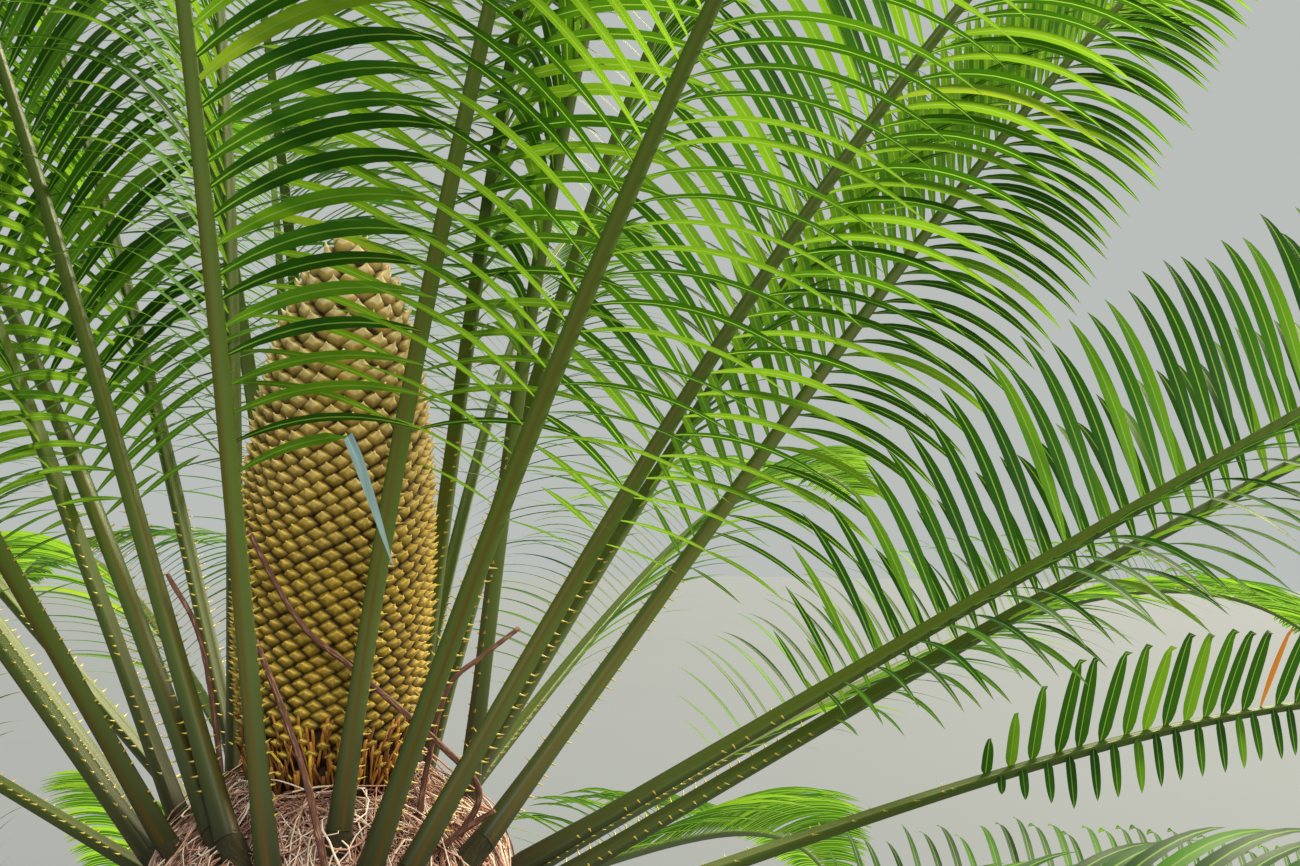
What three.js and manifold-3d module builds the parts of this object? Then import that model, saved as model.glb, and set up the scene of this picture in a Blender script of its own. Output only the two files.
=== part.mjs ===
// Sago palm (a cycad, not a true palm) with a ripe pollen cone, rooted in level ground.
// Millimetres, +Z up. The origin is the middle of the flat cut under the trunk.
import * as THREE from "three";
import { mergeVertices } from "three/addons/utils/BufferGeometryUtils.js";
import Module from "manifold-3d";

const wasm = await Module();
wasm.setup();

// Driving dimensions of the trunk
const HEART_HEIGHT = 1150;        // level ground to the nest of wool at the heart of the crown
const LEAN = { x: 40, y: -15 };   // how far the heart stands off the foot
const WAIST_RADIUS = 132;         // trunk without its leaf bases, at its narrowest
const FOOT_RADIUS = 176;          // root flare at the ground
const SHOULDER_RADIUS = 146;      // swelling that carries the fronds
const LEAF_BASE_RELIEF = 11;      // how far the old leaf bases stand out
const TRUNK_COLUMNS = 24;
const TRUNK_ROWS = 26;

// Driving dimensions of the nest and the pollen cone
const NEST_RADIUS = 96;
const NEST_SEAT = -42;            // where the nest lies on the trunk, from the heart
const HOLLOW = -8;                // the hollow in the nest that the cone stands in, from the heart
const CONE_HEIGHT = 480;
const CONE_RADIUS = 82;
const CONE_FOOT_RADIUS = 64;
const CONE_STAND = -7;            // the cone's foot stands this far off the heart, in X
const CONE_LEAN = 22;             // how far the tip stands off the foot
const CONE_COLUMNS = 22;
const CONE_ROWS = 26;
const SCALE_RELIEF = 5;

// Driving dimensions of a frond
const FROND_LENGTH = 1750;
const PETIOLE_SHARE = 0.17;       // bare stalk before the first leaflets, as a share of the length
const PETIOLE_WIDTH = 17;
const TIP_WIDTH = 5;
const FOOT_SWELL = 4;             // how much wider the stalk is at its foot
const SWELL_SHARE = 0.05;         // and over what share of the length that goes
const DEPTH_TO_WIDTH = 0.85;
const EDGE_HEIGHT = 3.6;          // the side face that the leaflets grow from
const BLADE_END = 0.985;          // where the last pair stands, as a share of the length
const LEAFLET_PAIRS = 20;         // each stands for about four real ones
const LEAFLET_LENGTH = 235;
const LEAFLET_SAG = 0.22;         // how far its weight pulls it down, against its own direction
const ARCH_POWER = 2.3;           // a frond is nearly straight low down and arches near its tip
const LEAF_BASE_DEPTH = 76;       // how deep a living leaf base runs back into the trunk
const LEAF_BASE_SWELL = 1.3;      // how much wider it is there
const STALK_SIDES = 6;
const STALK_BASE_SWELL = 1.3;     // how much wider than a dry stalk its base is

const SEAT_GAP = 0.3;             // every piece ends this far from the one that carries it
const CLEARANCE = 0.8;            // leaflets stay this far from everything else

// Fronds that can be told apart in the view: direction round the trunk, distance out and depth below
// the heart, rise of the stalk, arch towards the tip, sideways lean, how that lean grows, and how far
// the blade is turned about its rib.
const shownFronds = [
  { around: -98, out: 150, below: 25, rise: 93, arch: 46, lean: -7, curl: 3, turn: 28 },
  { around: -77, out: 117, below: 4, rise: 92, arch: 46, lean: 8, curl: 13, turn: 28 },
  { around: -68, out: 151, below: 26, rise: 77, arch: 53, lean: 16, curl: 8, turn: 34 },
  { around: -55, out: 146, below: 32, rise: 89, arch: 53, lean: 34, curl: 8, turn: 55 },
  { around: -25, out: 151, below: 25, rise: 69, arch: 29, lean: 45, curl: -11, turn: 78 },
  { around: 1, out: 166, below: 66, rise: 30, arch: 4, lean: 0, curl: 4, turn: -30 },
  { around: 6, out: 172, below: 98, rise: 29, arch: 21, lean: 1, curl: 0, turn: -24 },
  { around: 11, out: 167, below: 138, rise: 11, arch: 42, lean: 14, curl: 1, turn: -4 },
  { around: 46, out: 141, below: 33, rise: 51, arch: 49, lean: -3, curl: 1, turn: 0 },
  { around: -115, out: 134, below: 8, rise: 102, arch: 33, lean: -30, curl: 3, turn: -42 },
  { around: -128, out: 124, below: 8, rise: 96, arch: 47, lean: -39, curl: -10, turn: -45 },
  { around: 181, out: 160, below: 55, rise: 52, arch: 40, lean: -7, curl: 0, turn: 0 },
  { around: 166, out: 166, below: 68, rise: 44, arch: 40, lean: -8, curl: -1, turn: 0 },
  { around: 151, out: 117, below: 10, rise: 84, arch: 40, lean: -6, curl: 0, turn: 0 },
  { around: -42, out: 168, below: 122, rise: 13, arch: 36, lean: 0, curl: 0, turn: 0 },
];

// Rings of slots for the rest of the crown, from the youngest fronds to the oldest. A ring leaves the
// directions between openFrom and openTo free, as the view does.
const rings = [
  { out: 118, below: 6, rise: 83, arch: 50, slots: 7, start: 12, openFrom: -150, openTo: -25 },
  { out: 142, below: 26, rise: 66, arch: 50, slots: 10, start: 66, openFrom: -150, openTo: 34 },
  { out: 160, below: 62, rise: 42, arch: 42, slots: 11, start: 48, openFrom: -150, openTo: 34 },
  { out: 170, below: 112, rise: 18, arch: 40, slots: 9, start: 35, openFrom: -120, openTo: -60 },
  { out: 164, below: 160, rise: -5, arch: 34, slots: 8, start: 22, openFrom: 0, openTo: 0 },
];
const FOOT_SPACING = 36;          // a slot nearer than this to a shown frond's foot stays empty
const LENGTH_SPREAD = 0.05;       // fronds are longer and shorter than the rest by this share

// Dry stalks in the crown: points from the foot on the trunk to the tip, from the heart
const dryStalks = [
  { points: [[112, -48, -32], [134, -66, 14], [104, -84, 57], [36, -86, 117], [-8, -93, 158], [-50, -88, 230]],
    radius: 2.6 },
  { points: [[31, -157, -46], [25, -151, -20], [3, -135, 55], [-36, -118, 146]], radius: 2.8 },
  { points: [[-74, -70, -34], [-78, -70, 41], [-94, -70, 140], [-123, -64, 193]], radius: 2.4 },
  { points: [[98, -76, -34], [125, -90, -10], [150, -104, 8]], radius: 3.6 },
  { points: [[80, -60, -36], [90, -64, 30], [108, -68, 99], [138, -56, 126], [164, -38, 145]], radius: 2.4 },
];

const materials = {
  trunk: new THREE.MeshStandardMaterial({ color: 0x6b5340, roughness: 0.95, metalness: 0 }),
  wool: new THREE.MeshStandardMaterial({ color: 0xa9866a, roughness: 1, metalness: 0 }),
  cone: new THREE.MeshStandardMaterial({ color: 0xb58f35, roughness: 0.8, metalness: 0 }),
  frond: new THREE.MeshStandardMaterial({ color: 0x3f7d22, roughness: 0.45, metalness: 0 }),
  stalk: new THREE.MeshStandardMaterial({ color: 0x6e4a38, roughness: 0.9, metalness: 0 }),
};

const radians = THREE.MathUtils.degToRad;
const vector = (x, y, z) => new THREE.Vector3(x, y, z);
const heart = vector(LEAN.x, LEAN.y, HEART_HEIGHT);
const palm = new THREE.Group();

// Closed bodies, as indexed geometry and as solids to join and test

function indexedGeometry(corners, faces) {
  const geometry = new THREE.BufferGeometry();
  const positions = corners.flatMap((corner) => [corner.x, corner.y, corner.z]);
  geometry.setAttribute("position", new THREE.Float32BufferAttribute(positions, 3));
  geometry.setIndex(faces.flat());
  return geometry;
}

function solidOf(geometry) {
  const bare = geometry.clone();
  bare.deleteAttribute("normal");
  bare.deleteAttribute("uv");
  const merged = mergeVertices(bare, 1e-4);
  return new wasm.Manifold(new wasm.Mesh({
    numProp: 3,
    vertProperties: new Float32Array(merged.attributes.position.array),
    triVerts: new Uint32Array(merged.index.array),
  }));
}

function geometryOf(solid) {
  const mesh = solid.getMesh();
  const geometry = new THREE.BufferGeometry();
  geometry.setAttribute("position", new THREE.BufferAttribute(mesh.vertProperties, 3));
  geometry.setIndex(new THREE.BufferAttribute(mesh.triVerts, 1));
  return geometry;
}

function addPiece(name, geometry, material) {
  geometry.computeVertexNormals();
  const piece = new THREE.Mesh(geometry, material);
  piece.name = name;
  palm.add(piece);
}

// A round body of stacked rings whose grid points stand out by turns, so that rhombic bosses tile it.
// middleAt and radiusAt take a share of the height from 0 to 1.
function bossedBody(rows, columns, middleAt, radiusAt, reliefAt) {
  const corners = [];
  const faces = [];
  for (let row = 0; row <= rows; row += 1) {
    const share = row / rows;
    const middle = middleAt(share);
    for (let column = 0; column < columns; column += 1) {
      const angle = (2 * Math.PI * column) / columns;
      const standsOut = (row + column) % 2 === 0 ? reliefAt(share) : 0;
      const radius = radiusAt(share) + standsOut;
      corners.push(vector(radius * Math.cos(angle), radius * Math.sin(angle), 0).add(middle));
    }
  }
  for (let row = 0; row < rows; row += 1) {
    for (let column = 0; column < columns; column += 1) {
      const here = row * columns + column;
      const beside = row * columns + ((column + 1) % columns);
      const above = here + columns;
      const across = beside + columns;
      if ((row + column) % 2 === 0) {
        faces.push([here, beside, above], [beside, across, above]);
      } else {
        faces.push([here, beside, across], [here, across, above]);
      }
    }
  }
  const bottom = corners.push(middleAt(0)) - 1;
  const top = corners.push(middleAt(1)) - 1;
  for (let column = 0; column < columns; column += 1) {
    const next = (column + 1) % columns;
    faces.push([bottom, next, column]);
    faces.push([top, rows * columns + column, rows * columns + next]);
  }
  return indexedGeometry(corners, faces);
}

// Fronds

// Directions at a share of the frond's length: along the rib, to its left side and up from its blade
function frondFrame(frond, share) {
  const around = radians(frond.around);
  const rise = radians(frond.rise - frond.arch * share ** ARCH_POWER);
  const lean = radians(frond.lean + frond.curl * share);
  const outward = vector(Math.cos(around), Math.sin(around), 0);
  const sideways = vector(-Math.sin(around), Math.cos(around), 0);
  const climb = outward.multiplyScalar(Math.cos(rise)).add(vector(0, 0, Math.sin(rise)));
  const along = climb.clone().multiplyScalar(Math.cos(lean)).addScaledVector(sideways, Math.sin(lean));
  const left = sideways.clone().multiplyScalar(Math.cos(lean)).addScaledVector(climb, -Math.sin(lean));
  left.applyAxisAngle(along, -radians(frond.turn));
  const up = along.clone().cross(left);
  return { along, left, up };
}

function frondFoot(frond) {
  const around = radians(frond.around);
  return vector(frond.out * Math.cos(around), frond.out * Math.sin(around), -frond.below).add(heart);
}

// The rib's middle line, walked in short steps from the foot to the tip
function frondLine(frond) {
  const steps = 100;
  const stride = frond.length / steps;
  const point = frondFoot(frond).addScaledVector(frondFrame(frond, 0).along, SEAT_GAP);
  const line = [point.clone()];
  for (let step = 0; step < steps; step += 1) {
    point.addScaledVector(frondFrame(frond, (step + 0.5) / steps).along, stride);
    line.push(point.clone());
  }
  return (share) => {
    const place = Math.min(share * steps, steps - 1e-6);
    const before = Math.floor(place);
    return line[before].clone().lerp(line[before + 1], place - before);
  };
}

// The rib is flat on top, with two side faces for the leaflets and a keel below: five corners
function ribWidth(share) {
  const swell = FOOT_SWELL * Math.max(0, 1 - share / SWELL_SHARE);
  return THREE.MathUtils.lerp(PETIOLE_WIDTH, TIP_WIDTH, share) + swell;
}

function ribCorners(middle, frame, width) {
  const depth = width * DEPTH_TO_WIDTH;
  const place = (side, height) => middle.clone()
    .addScaledVector(frame.left, side)
    .addScaledVector(frame.up, height);
  return [
    place(width / 2, depth / 2),
    place(width / 2, depth / 2 - EDGE_HEIGHT),
    place(0, -depth / 2),
    place(-width / 2, depth / 2 - EDGE_HEIGHT),
    place(-width / 2, depth / 2),
  ];
}

const bladeShare = (pair) => PETIOLE_SHARE + (BLADE_END - PETIOLE_SHARE) * (pair / LEAFLET_PAIRS);
const ribStations = [0, SWELL_SHARE, 0.11];
for (let pair = 0; pair <= LEAFLET_PAIRS; pair += 1) ribStations.push(bladeShare(pair));
const FIRST_BLADE_STATION = ribStations.length - LEAFLET_PAIRS - 1;

// How long a leaflet is at a share of the blade: short at both ends, longest a third of the way out
function leafletLength(blade) {
  return LEAFLET_LENGTH * (0.28 + 0.72 * Math.sin(Math.PI * blade ** 0.62));
}

// Where a leaflet points: well out from the rib low down, forward near the tip, raised in a V and
// pulled down by its weight
function leafletDirection(frond, share, side, tilt) {
  const blade = (share - PETIOLE_SHARE) / (1 - PETIOLE_SHARE);
  const frame = frondFrame(frond, share);
  const spread = radians(84 - 40 * blade ** 0.7 - 6 * blade ** 3);
  const keel = radians(30 - 12 * blade + tilt);
  const outward = frame.left.clone().multiplyScalar(side * Math.cos(keel))
    .addScaledVector(frame.up, Math.sin(keel));
  return frame.along.clone().multiplyScalar(Math.cos(spread))
    .addScaledVector(outward, Math.sin(spread))
    .add(vector(0, 0, -LEAFLET_SAG))
    .normalize();
}

function leafletSpike(root, tip) {
  const corners = [...root, tip];
  return solidOf(indexedGeometry(corners, [[0, 2, 1], [0, 3, 2], [0, 1, 4], [1, 2, 4], [2, 3, 4], [3, 0, 4]]));
}

// One frond: the rib's rings, joined by plain faces, with a leaflet drawn out of each side face that
// has a tip in tips
function frondGeometry(frond, tips) {
  const corners = frond.ringCorners.flat();
  const faces = [];
  const quad = (a, b, c, d) => faces.push([a, b, c], [a, c, d]);
  for (let ring = 0; ring + 1 < frond.ringCorners.length; ring += 1) {
    const near = ring * 5;
    const far = near + 5;
    for (let edge = 0; edge < 5; edge += 1) {
      const next = (edge + 1) % 5;
      const face = [near + edge, far + edge, far + next, near + next];
      const tip = tips.get(`${ring} ${edge}`);
      if (tip) {
        const point = corners.push(tip) - 1;
        face.forEach((corner, index) => faces.push([corner, face[(index + 1) % 4], point]));
      } else {
        quad(...face);
      }
    }
  }
  const last = (frond.ringCorners.length - 1) * 5;
  const end = corners.push(frond.line(1)) - 1;
  for (let edge = 0; edge < 5; edge += 1) faces.push([last + edge, end, last + ((edge + 1) % 5)]);
  faces.push([0, 1, 2], [0, 2, 3], [0, 3, 4]);
  return indexedGeometry(corners, faces);
}

// The rest of the crown fills the free slots of each ring, each frond a little unlike the next
function ringFronds() {
  const fronds = [];
  rings.forEach((ring, level) => {
    for (let slot = 0; slot < ring.slots; slot += 1) {
      const nudge = (kind) => Math.sin(slot * 2.4 + level * 1.9 + kind * 1.3);
      const around = ((ring.start + (360 / ring.slots) * slot + 180) % 360) - 180;
      const frond = {
        around,
        out: ring.out,
        below: ring.below,
        rise: ring.rise + 4 * nudge(0),
        arch: ring.arch + 8 * nudge(1),
        lean: 6 * nudge(2),
        curl: 5 * nudge(3),
        turn: 10 * nudge(4),
      };
      const isOpen = around > ring.openFrom && around < ring.openTo;
      const isCrowded = shownFronds.some((shown) => (
        frondFoot(shown).distanceTo(frondFoot(frond)) < FOOT_SPACING));
      if (!isOpen && !isCrowded) fronds.push(frond);
    }
  });
  return fronds;
}

const fronds = [...shownFronds, ...ringFronds()];
fronds.forEach((frond, index) => {
  frond.length = FROND_LENGTH * (1 + LENGTH_SPREAD * Math.sin(index * 2.1));
  frond.line = frondLine(frond);
  frond.ringCorners = ribStations.map((share) => (
    ribCorners(frond.line(share), frondFrame(frond, share), ribWidth(share))));
  frond.rib = solidOf(frondGeometry(frond, new Map()));
});

// Trunk: an armour of old leaf bases, and a living leaf base under each frond and dry stalk

function trunkMiddle(share) {
  const height = (HEART_HEIGHT + NEST_SEAT - SEAT_GAP) * share;
  const bow = share ** 1.6;
  return vector(LEAN.x * bow, LEAN.y * bow, height);
}

function trunkRadius(share) {
  const flare = (FOOT_RADIUS - WAIST_RADIUS) * Math.exp(-share / 0.1);
  const swelling = (SHOULDER_RADIUS - WAIST_RADIUS) * THREE.MathUtils.smoothstep(share, 0.45, 0.85);
  const crownEnd = 46 * THREE.MathUtils.smoothstep(share, 0.93, 1);
  return WAIST_RADIUS + flare + swelling - crownEnd;
}

function trunkRelief(share) {
  return share > 0.93 || share === 0 ? 0 : LEAF_BASE_RELIEF;
}

// A base that carries a frond or stalk: the section at its foot, carried back into the trunk and
// widening there. outlineAt gives the corners round a middle point.
function livingBase(foot, along, outlineAt) {
  const share = (foot.z - LEAF_BASE_DEPTH) / (HEART_HEIGHT + NEST_SEAT);
  const core = trunkMiddle(share).lerp(foot, 0.5).setZ(foot.z - LEAF_BASE_DEPTH);
  const root = foot.clone().addScaledVector(along, -LEAF_BASE_DEPTH).lerp(core, 0.45);
  const near = outlineAt(root, LEAF_BASE_SWELL);
  const far = outlineAt(foot, 1);
  const sides = near.length;
  const faces = [];
  for (let edge = 0; edge < sides; edge += 1) {
    const next = (edge + 1) % sides;
    faces.push([edge, edge + sides, next + sides], [edge, next + sides, next]);
    if (edge > 1) faces.push([0, edge - 1, edge], [sides, sides + edge, sides + edge - 1]);
  }
  return solidOf(indexedGeometry([...near, ...far], faces));
}

function leafBase(frond) {
  const frame = frondFrame(frond, 0);
  return livingBase(frondFoot(frond), frame.along, (middle, swell) => (
    ribCorners(middle, frame, ribWidth(0) * swell)));
}

function stalkBase(foot, along, radius) {
  const left = along.clone().cross(vector(0, 1, 0)).normalize();
  const up = along.clone().cross(left);
  return livingBase(foot, along, (middle, swell) => Array.from({ length: STALK_SIDES }, (_, side) => {
    const angle = (-2 * Math.PI * side) / STALK_SIDES;
    return middle.clone()
      .addScaledVector(left, STALK_BASE_SWELL * swell * radius * Math.cos(angle))
      .addScaledVector(up, STALK_BASE_SWELL * swell * radius * Math.sin(angle));
  }));
}

function stalkTube(points, radius) {
  const curve = new THREE.CatmullRomCurve3(points);
  const outline = new THREE.Shape();
  for (let side = 0; side < STALK_SIDES; side += 1) {
    const angle = (2 * Math.PI * side) / STALK_SIDES;
    const x = radius * Math.cos(angle);
    const y = radius * Math.sin(angle);
    if (side === 0) outline.moveTo(x, y);
    else outline.lineTo(x, y);
  }
  outline.closePath();
  const steps = 3 * (points.length - 1);
  return new THREE.ExtrudeGeometry(outline, { steps, extrudePath: curve, bevelEnabled: false });
}

const stalks = dryStalks.map(({ points, radius }) => {
  const places = points.map((point) => vector(...point).add(heart));
  const tube = stalkTube(places, radius);
  const curve = new THREE.CatmullRomCurve3(places);
  const away = curve.getTangent(0);
  const seat = places[0].clone().addScaledVector(away, -SEAT_GAP);
  return { tube, solid: solidOf(tube), base: stalkBase(seat, away, radius) };
});

let trunk = solidOf(bossedBody(TRUNK_ROWS, TRUNK_COLUMNS, trunkMiddle, trunkRadius, trunkRelief));
for (const frond of fronds) trunk = trunk.add(leafBase(frond));
for (const stalk of stalks) trunk = trunk.add(stalk.base);

// Nest: a shallow mound of wool round the cone's foot
const nestProfile = [
  [0, NEST_SEAT], [NEST_RADIUS - 18, NEST_SEAT], [NEST_RADIUS - 2, -26], [NEST_RADIUS, -12],
  [NEST_RADIUS - 6, 4], [NEST_RADIUS - 12, 9], [NEST_RADIUS - 17, 4], [NEST_RADIUS - 18, HOLLOW], [0, HOLLOW],
].map(([radius, height]) => new THREE.Vector2(radius, height));
const nestGeometry = new THREE.LatheGeometry(nestProfile, 28);
nestGeometry.rotateX(Math.PI / 2);
nestGeometry.translate(heart.x, heart.y, heart.z);
const nest = solidOf(nestGeometry);

// Pollen cone: upright, narrow at the foot, fullest a little over a third of the way up
function coneMiddle(share) {
  return vector(CONE_STAND + CONE_LEAN * share, 0, HOLLOW + SEAT_GAP + CONE_HEIGHT * share).add(heart);
}

function coneRadius(share) {
  if (share < 0.4) {
    return THREE.MathUtils.lerp(CONE_FOOT_RADIUS, CONE_RADIUS, Math.sin((Math.PI / 2) * (share / 0.4)));
  }
  const towardsTip = (share - 0.4) / 0.6;
  return CONE_RADIUS * Math.sqrt(Math.max(1 - towardsTip ** 2.6, 0.03));
}

function coneRelief(share) {
  return share === 0 || share === 1 ? 0 : SCALE_RELIEF * THREE.MathUtils.smoothstep(share, 0, 0.2);
}

const coneGeometry = bossedBody(CONE_ROWS, CONE_COLUMNS, coneMiddle, coneRadius, coneRelief);
const cone = solidOf(coneGeometry);

// Leaflets: each grows to its full length where there is room, else it is turned a little, else
// shortened, else left out
const TRIES = [[1, 0], [1, 10], [1, -10], [0.82, 0], [0.82, 12], [0.64, 0], [0.46, 0]];
const taken = [];

function occupy(solid, owner) {
  taken.push({ solid, owner, box: solid.boundingBox() });
}

function isFree(solid, owner) {
  const box = solid.boundingBox();
  const near = (other) => [0, 1, 2].every((axis) => (
    box.min[axis] - CLEARANCE < other.box.max[axis] && other.box.min[axis] < box.max[axis] + CLEARANCE));
  return !taken.some((other) => (
    other.owner !== owner && near(other) && solid.minGap(other.solid, CLEARANCE) < CLEARANCE));
}

[trunk, nest, cone, ...stalks.map((stalk) => stalk.solid)].forEach((solid) => occupy(solid, -1));
fronds.forEach((frond, index) => occupy(frond.rib, index));

fronds.forEach((frond, index) => {
  const tips = new Map();
  for (let pair = 0; pair < LEAFLET_PAIRS; pair += 1) {
    const ring = FIRST_BLADE_STATION + pair;
    const share = (ribStations[ring] + ribStations[ring + 1]) / 2;
    const blade = (share - PETIOLE_SHARE) / (1 - PETIOLE_SHARE);
    for (const [edge, side] of [[0, 1], [3, -1]]) {
      const near = frond.ringCorners[ring];
      const far = frond.ringCorners[ring + 1];
      const root = [near[edge], far[edge], far[edge + 1], near[edge + 1]];
      const middle = root.reduce((sum, corner) => sum.add(corner), vector(0, 0, 0)).divideScalar(4);
      for (const [cut, tilt] of TRIES) {
        const reach = leafletLength(blade) * cut;
        const tip = middle.clone().addScaledVector(leafletDirection(frond, share, side, tilt), reach);
        const spike = leafletSpike(root, tip);
        if (isFree(spike, index)) {
          tips.set(`${ring} ${edge}`, tip);
          occupy(spike, index);
          break;
        }
      }
    }
  }
  frond.tips = tips;
});

addPiece("trunk", geometryOf(trunk), materials.trunk);
addPiece("crown_wool", geometryOf(nest), materials.wool);
addPiece("pollen_cone", coneGeometry, materials.cone);
fronds.forEach((frond, index) => {
  const name = `frond_${String(index + 1).padStart(2, "0")}`;
  addPiece(name, frondGeometry(frond, frond.tips), materials.frond);
});
stalks.forEach((stalk, index) => addPiece(`dry_stalk_${index + 1}`, stalk.tube, materials.stalk));

export default palm;
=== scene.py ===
# Sago palm with a ripe pollen cone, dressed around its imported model.
# Sizes are in millimetres and angles in degrees until a mesh is made; objects are in metres.
import math

import bpy
import numpy as np
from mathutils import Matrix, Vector, kdtree


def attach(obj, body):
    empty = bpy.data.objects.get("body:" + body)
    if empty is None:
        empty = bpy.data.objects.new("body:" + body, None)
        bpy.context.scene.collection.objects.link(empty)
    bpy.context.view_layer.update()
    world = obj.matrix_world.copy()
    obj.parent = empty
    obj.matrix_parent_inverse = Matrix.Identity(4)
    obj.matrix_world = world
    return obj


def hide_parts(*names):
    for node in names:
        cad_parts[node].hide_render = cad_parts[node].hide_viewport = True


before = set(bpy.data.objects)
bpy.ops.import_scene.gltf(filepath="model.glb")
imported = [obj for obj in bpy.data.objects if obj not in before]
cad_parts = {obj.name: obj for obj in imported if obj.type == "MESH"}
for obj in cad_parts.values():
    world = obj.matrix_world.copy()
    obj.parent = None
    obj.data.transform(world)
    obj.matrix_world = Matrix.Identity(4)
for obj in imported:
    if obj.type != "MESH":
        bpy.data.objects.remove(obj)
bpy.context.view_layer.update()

# Camera
# It stands beside the crown at head height, level, and looks along +Y past the heart of the crown,
# which is the middle of the nest that all the fronds and the cone stand in.
METRE = 0.001
HEART = np.array([40.0, -15.0, 1150.0])
CAMERA_FROM_HEART = np.array([274.0, -1300.0, 309.0])
FOCAL_PIXELS = 1503
IMAGE_WIDTH = 1300

camera_data = bpy.data.cameras.new("camera")
camera_data.lens = camera_data.sensor_width * FOCAL_PIXELS / IMAGE_WIDTH
camera = bpy.data.objects.new("camera", camera_data)
camera.location = (HEART + CAMERA_FROM_HEART) * METRE
camera.rotation_euler = (math.radians(90), 0, 0)
bpy.context.scene.collection.objects.link(camera)
bpy.context.scene.camera = camera

# Trunk
# A pithy stem in an armour of old leaf bases: corky brown stubs, worn and split at their ends, that
# stand on one spiral from the flared foot to the crown. It grew up leaning a little to one side.
TRUNK_HEIGHT = 1107.7
TRUNK_LEAN = HEART[:2]
WAIST_RADIUS = 132
FOOT_RADIUS = 176
SHOULDER_RADIUS = 146
CROWN_END_INSET = 46          # the trunk narrows by this much under the nest
LEAN_BOW = 1.6                # above 1, so that it leans more and more on its way up
FLARE_FADES = 0.1             # the root flare dies away over about this share of the height
SHOULDER_SPAN = (0.45, 0.85)  # shares of the height between which it swells again
INSET_SPAN = (0.93, 1)        # and between which it narrows under the nest
CORE_SIDES = 72
CORE_ROWS = 110
CORE_SUNK = 7                 # the core lies this deep under the solid's surface
CORE_UNEVEN = 1.2
OLD_BASE_AREA = 1500          # of the trunk's surface, for each old leaf base
OLD_BASE_WIDTH = 52
OLD_BASE_HEIGHT = 42
OLD_BASE_CORNERS = 12
OLD_BASE_UNEVEN = 0.7
OLD_BASES_END = 0.955         # above this share of the height the living bases take over
BARK_FIBRE = (1.5, 12)        # width and length of the cork's fibres
BARK_BLOTCH = 28
GRAIN_APART = 37.0            # between the grain of one body and of the next, so that no two look alike
GOLDEN_ANGLE = math.pi * (3 - math.sqrt(5))


def smooth_step(value, low, high):
    """0 below low, 1 above high and a smooth rise between."""
    place = np.clip((np.asarray(value, float) - low) / (high - low), 0, 1)
    return place * place * (3 - 2 * place)


def unit(vectors):
    """The vectors at length one."""
    return vectors / np.linalg.norm(vectors, axis=-1, keepdims=True)


def trunk_middle(share):
    """The trunk's axis at a share of its height."""
    share = np.asarray(share, float)
    bow = np.clip(share, 0, None) ** LEAN_BOW
    return np.stack([TRUNK_LEAN[0] * bow, TRUNK_LEAN[1] * bow, TRUNK_HEIGHT * share], -1)


def trunk_radius(share):
    """The trunk's radius without its leaf bases."""
    flare = (FOOT_RADIUS - WAIST_RADIUS) * np.exp(-np.asarray(share) / FLARE_FADES)
    swelling = (SHOULDER_RADIUS - WAIST_RADIUS) * smooth_step(share, *SHOULDER_SPAN)
    return WAIST_RADIUS + flare + swelling - CROWN_END_INSET * smooth_step(share, *INSET_SPAN)


def spiral(height, radius_at, area_at):
    """Where organs stand that a growing tip sets one by one: shares of the height, and angles."""
    shares = [0.0]
    while shares[-1] < 1:
        here = shares[-1]
        shares.append(here + area_at(here) / (2 * math.pi * radius_at(here) * height))
    shares = np.array(shares[:-1])
    return shares, np.arange(len(shares)) * GOLDEN_ANGLE


def even_angles(count):
    """Angles at even steps all the way round."""
    return 2 * math.pi * np.arange(count) / count


def round_the_stem(angles):
    """Unit vectors to the side of, up from and out from a stem, at angles round it."""
    flat = np.zeros_like(angles)
    side = np.stack([-np.sin(angles), np.cos(angles), flat], -1)
    up = np.stack([flat, flat, flat + 1], -1)
    out = np.stack([np.cos(angles), np.sin(angles), flat], -1)
    return side, up, out


def turned_sections(middles, radii, sides):
    """Level rings round a row of middles, as loft takes them, with one radius a ring or one a side."""
    out = round_the_stem(even_angles(sides))[2]
    return (middles[:, None] + out * radii[..., None])[None]


def rings_on(places, side, up, out, rings, corners):
    """Sections of many like bosses. Each ring is (width, height, lift, shift, roundness): how wide and
    high its outline is, how far out it stands, how far up it is moved, each one number or one a body,
    and how rounded the outline is."""
    sections = []
    for *measures, roundness in rings:
        width, height, lift, shift = (np.broadcast_to(measure, len(places))[:, None, None]
                                      for measure in measures)
        outline = rounded_rhombus(corners, roundness)
        sections.append(places[:, None] + side[:, None] * width * outline[:, :1]
                        + up[:, None] * (height * outline[:, 1:] + shift) + out[:, None] * lift)
    return np.stack(sections, 1)


def rounded_rhombus(corners, roundness):
    """A rhombus with softened corners, as points two units wide and high. Roundness 1 is a true
    rhombus, 2 a circle, and less than 1 a star with four points."""
    circle = round_the_stem(even_angles(corners))[2][:, :2]
    reach = (np.abs(circle) ** roundness).sum(1, keepdims=True)
    return circle / reach ** (1 / roundness)


def distance_along(points, axis):
    """How far each point lies along its row of points."""
    strides = np.linalg.norm(np.diff(points, axis=axis), axis=-1)
    return np.pad(strides.cumsum(axis), [(int(number == axis), 0) for number in range(strides.ndim)])


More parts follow.
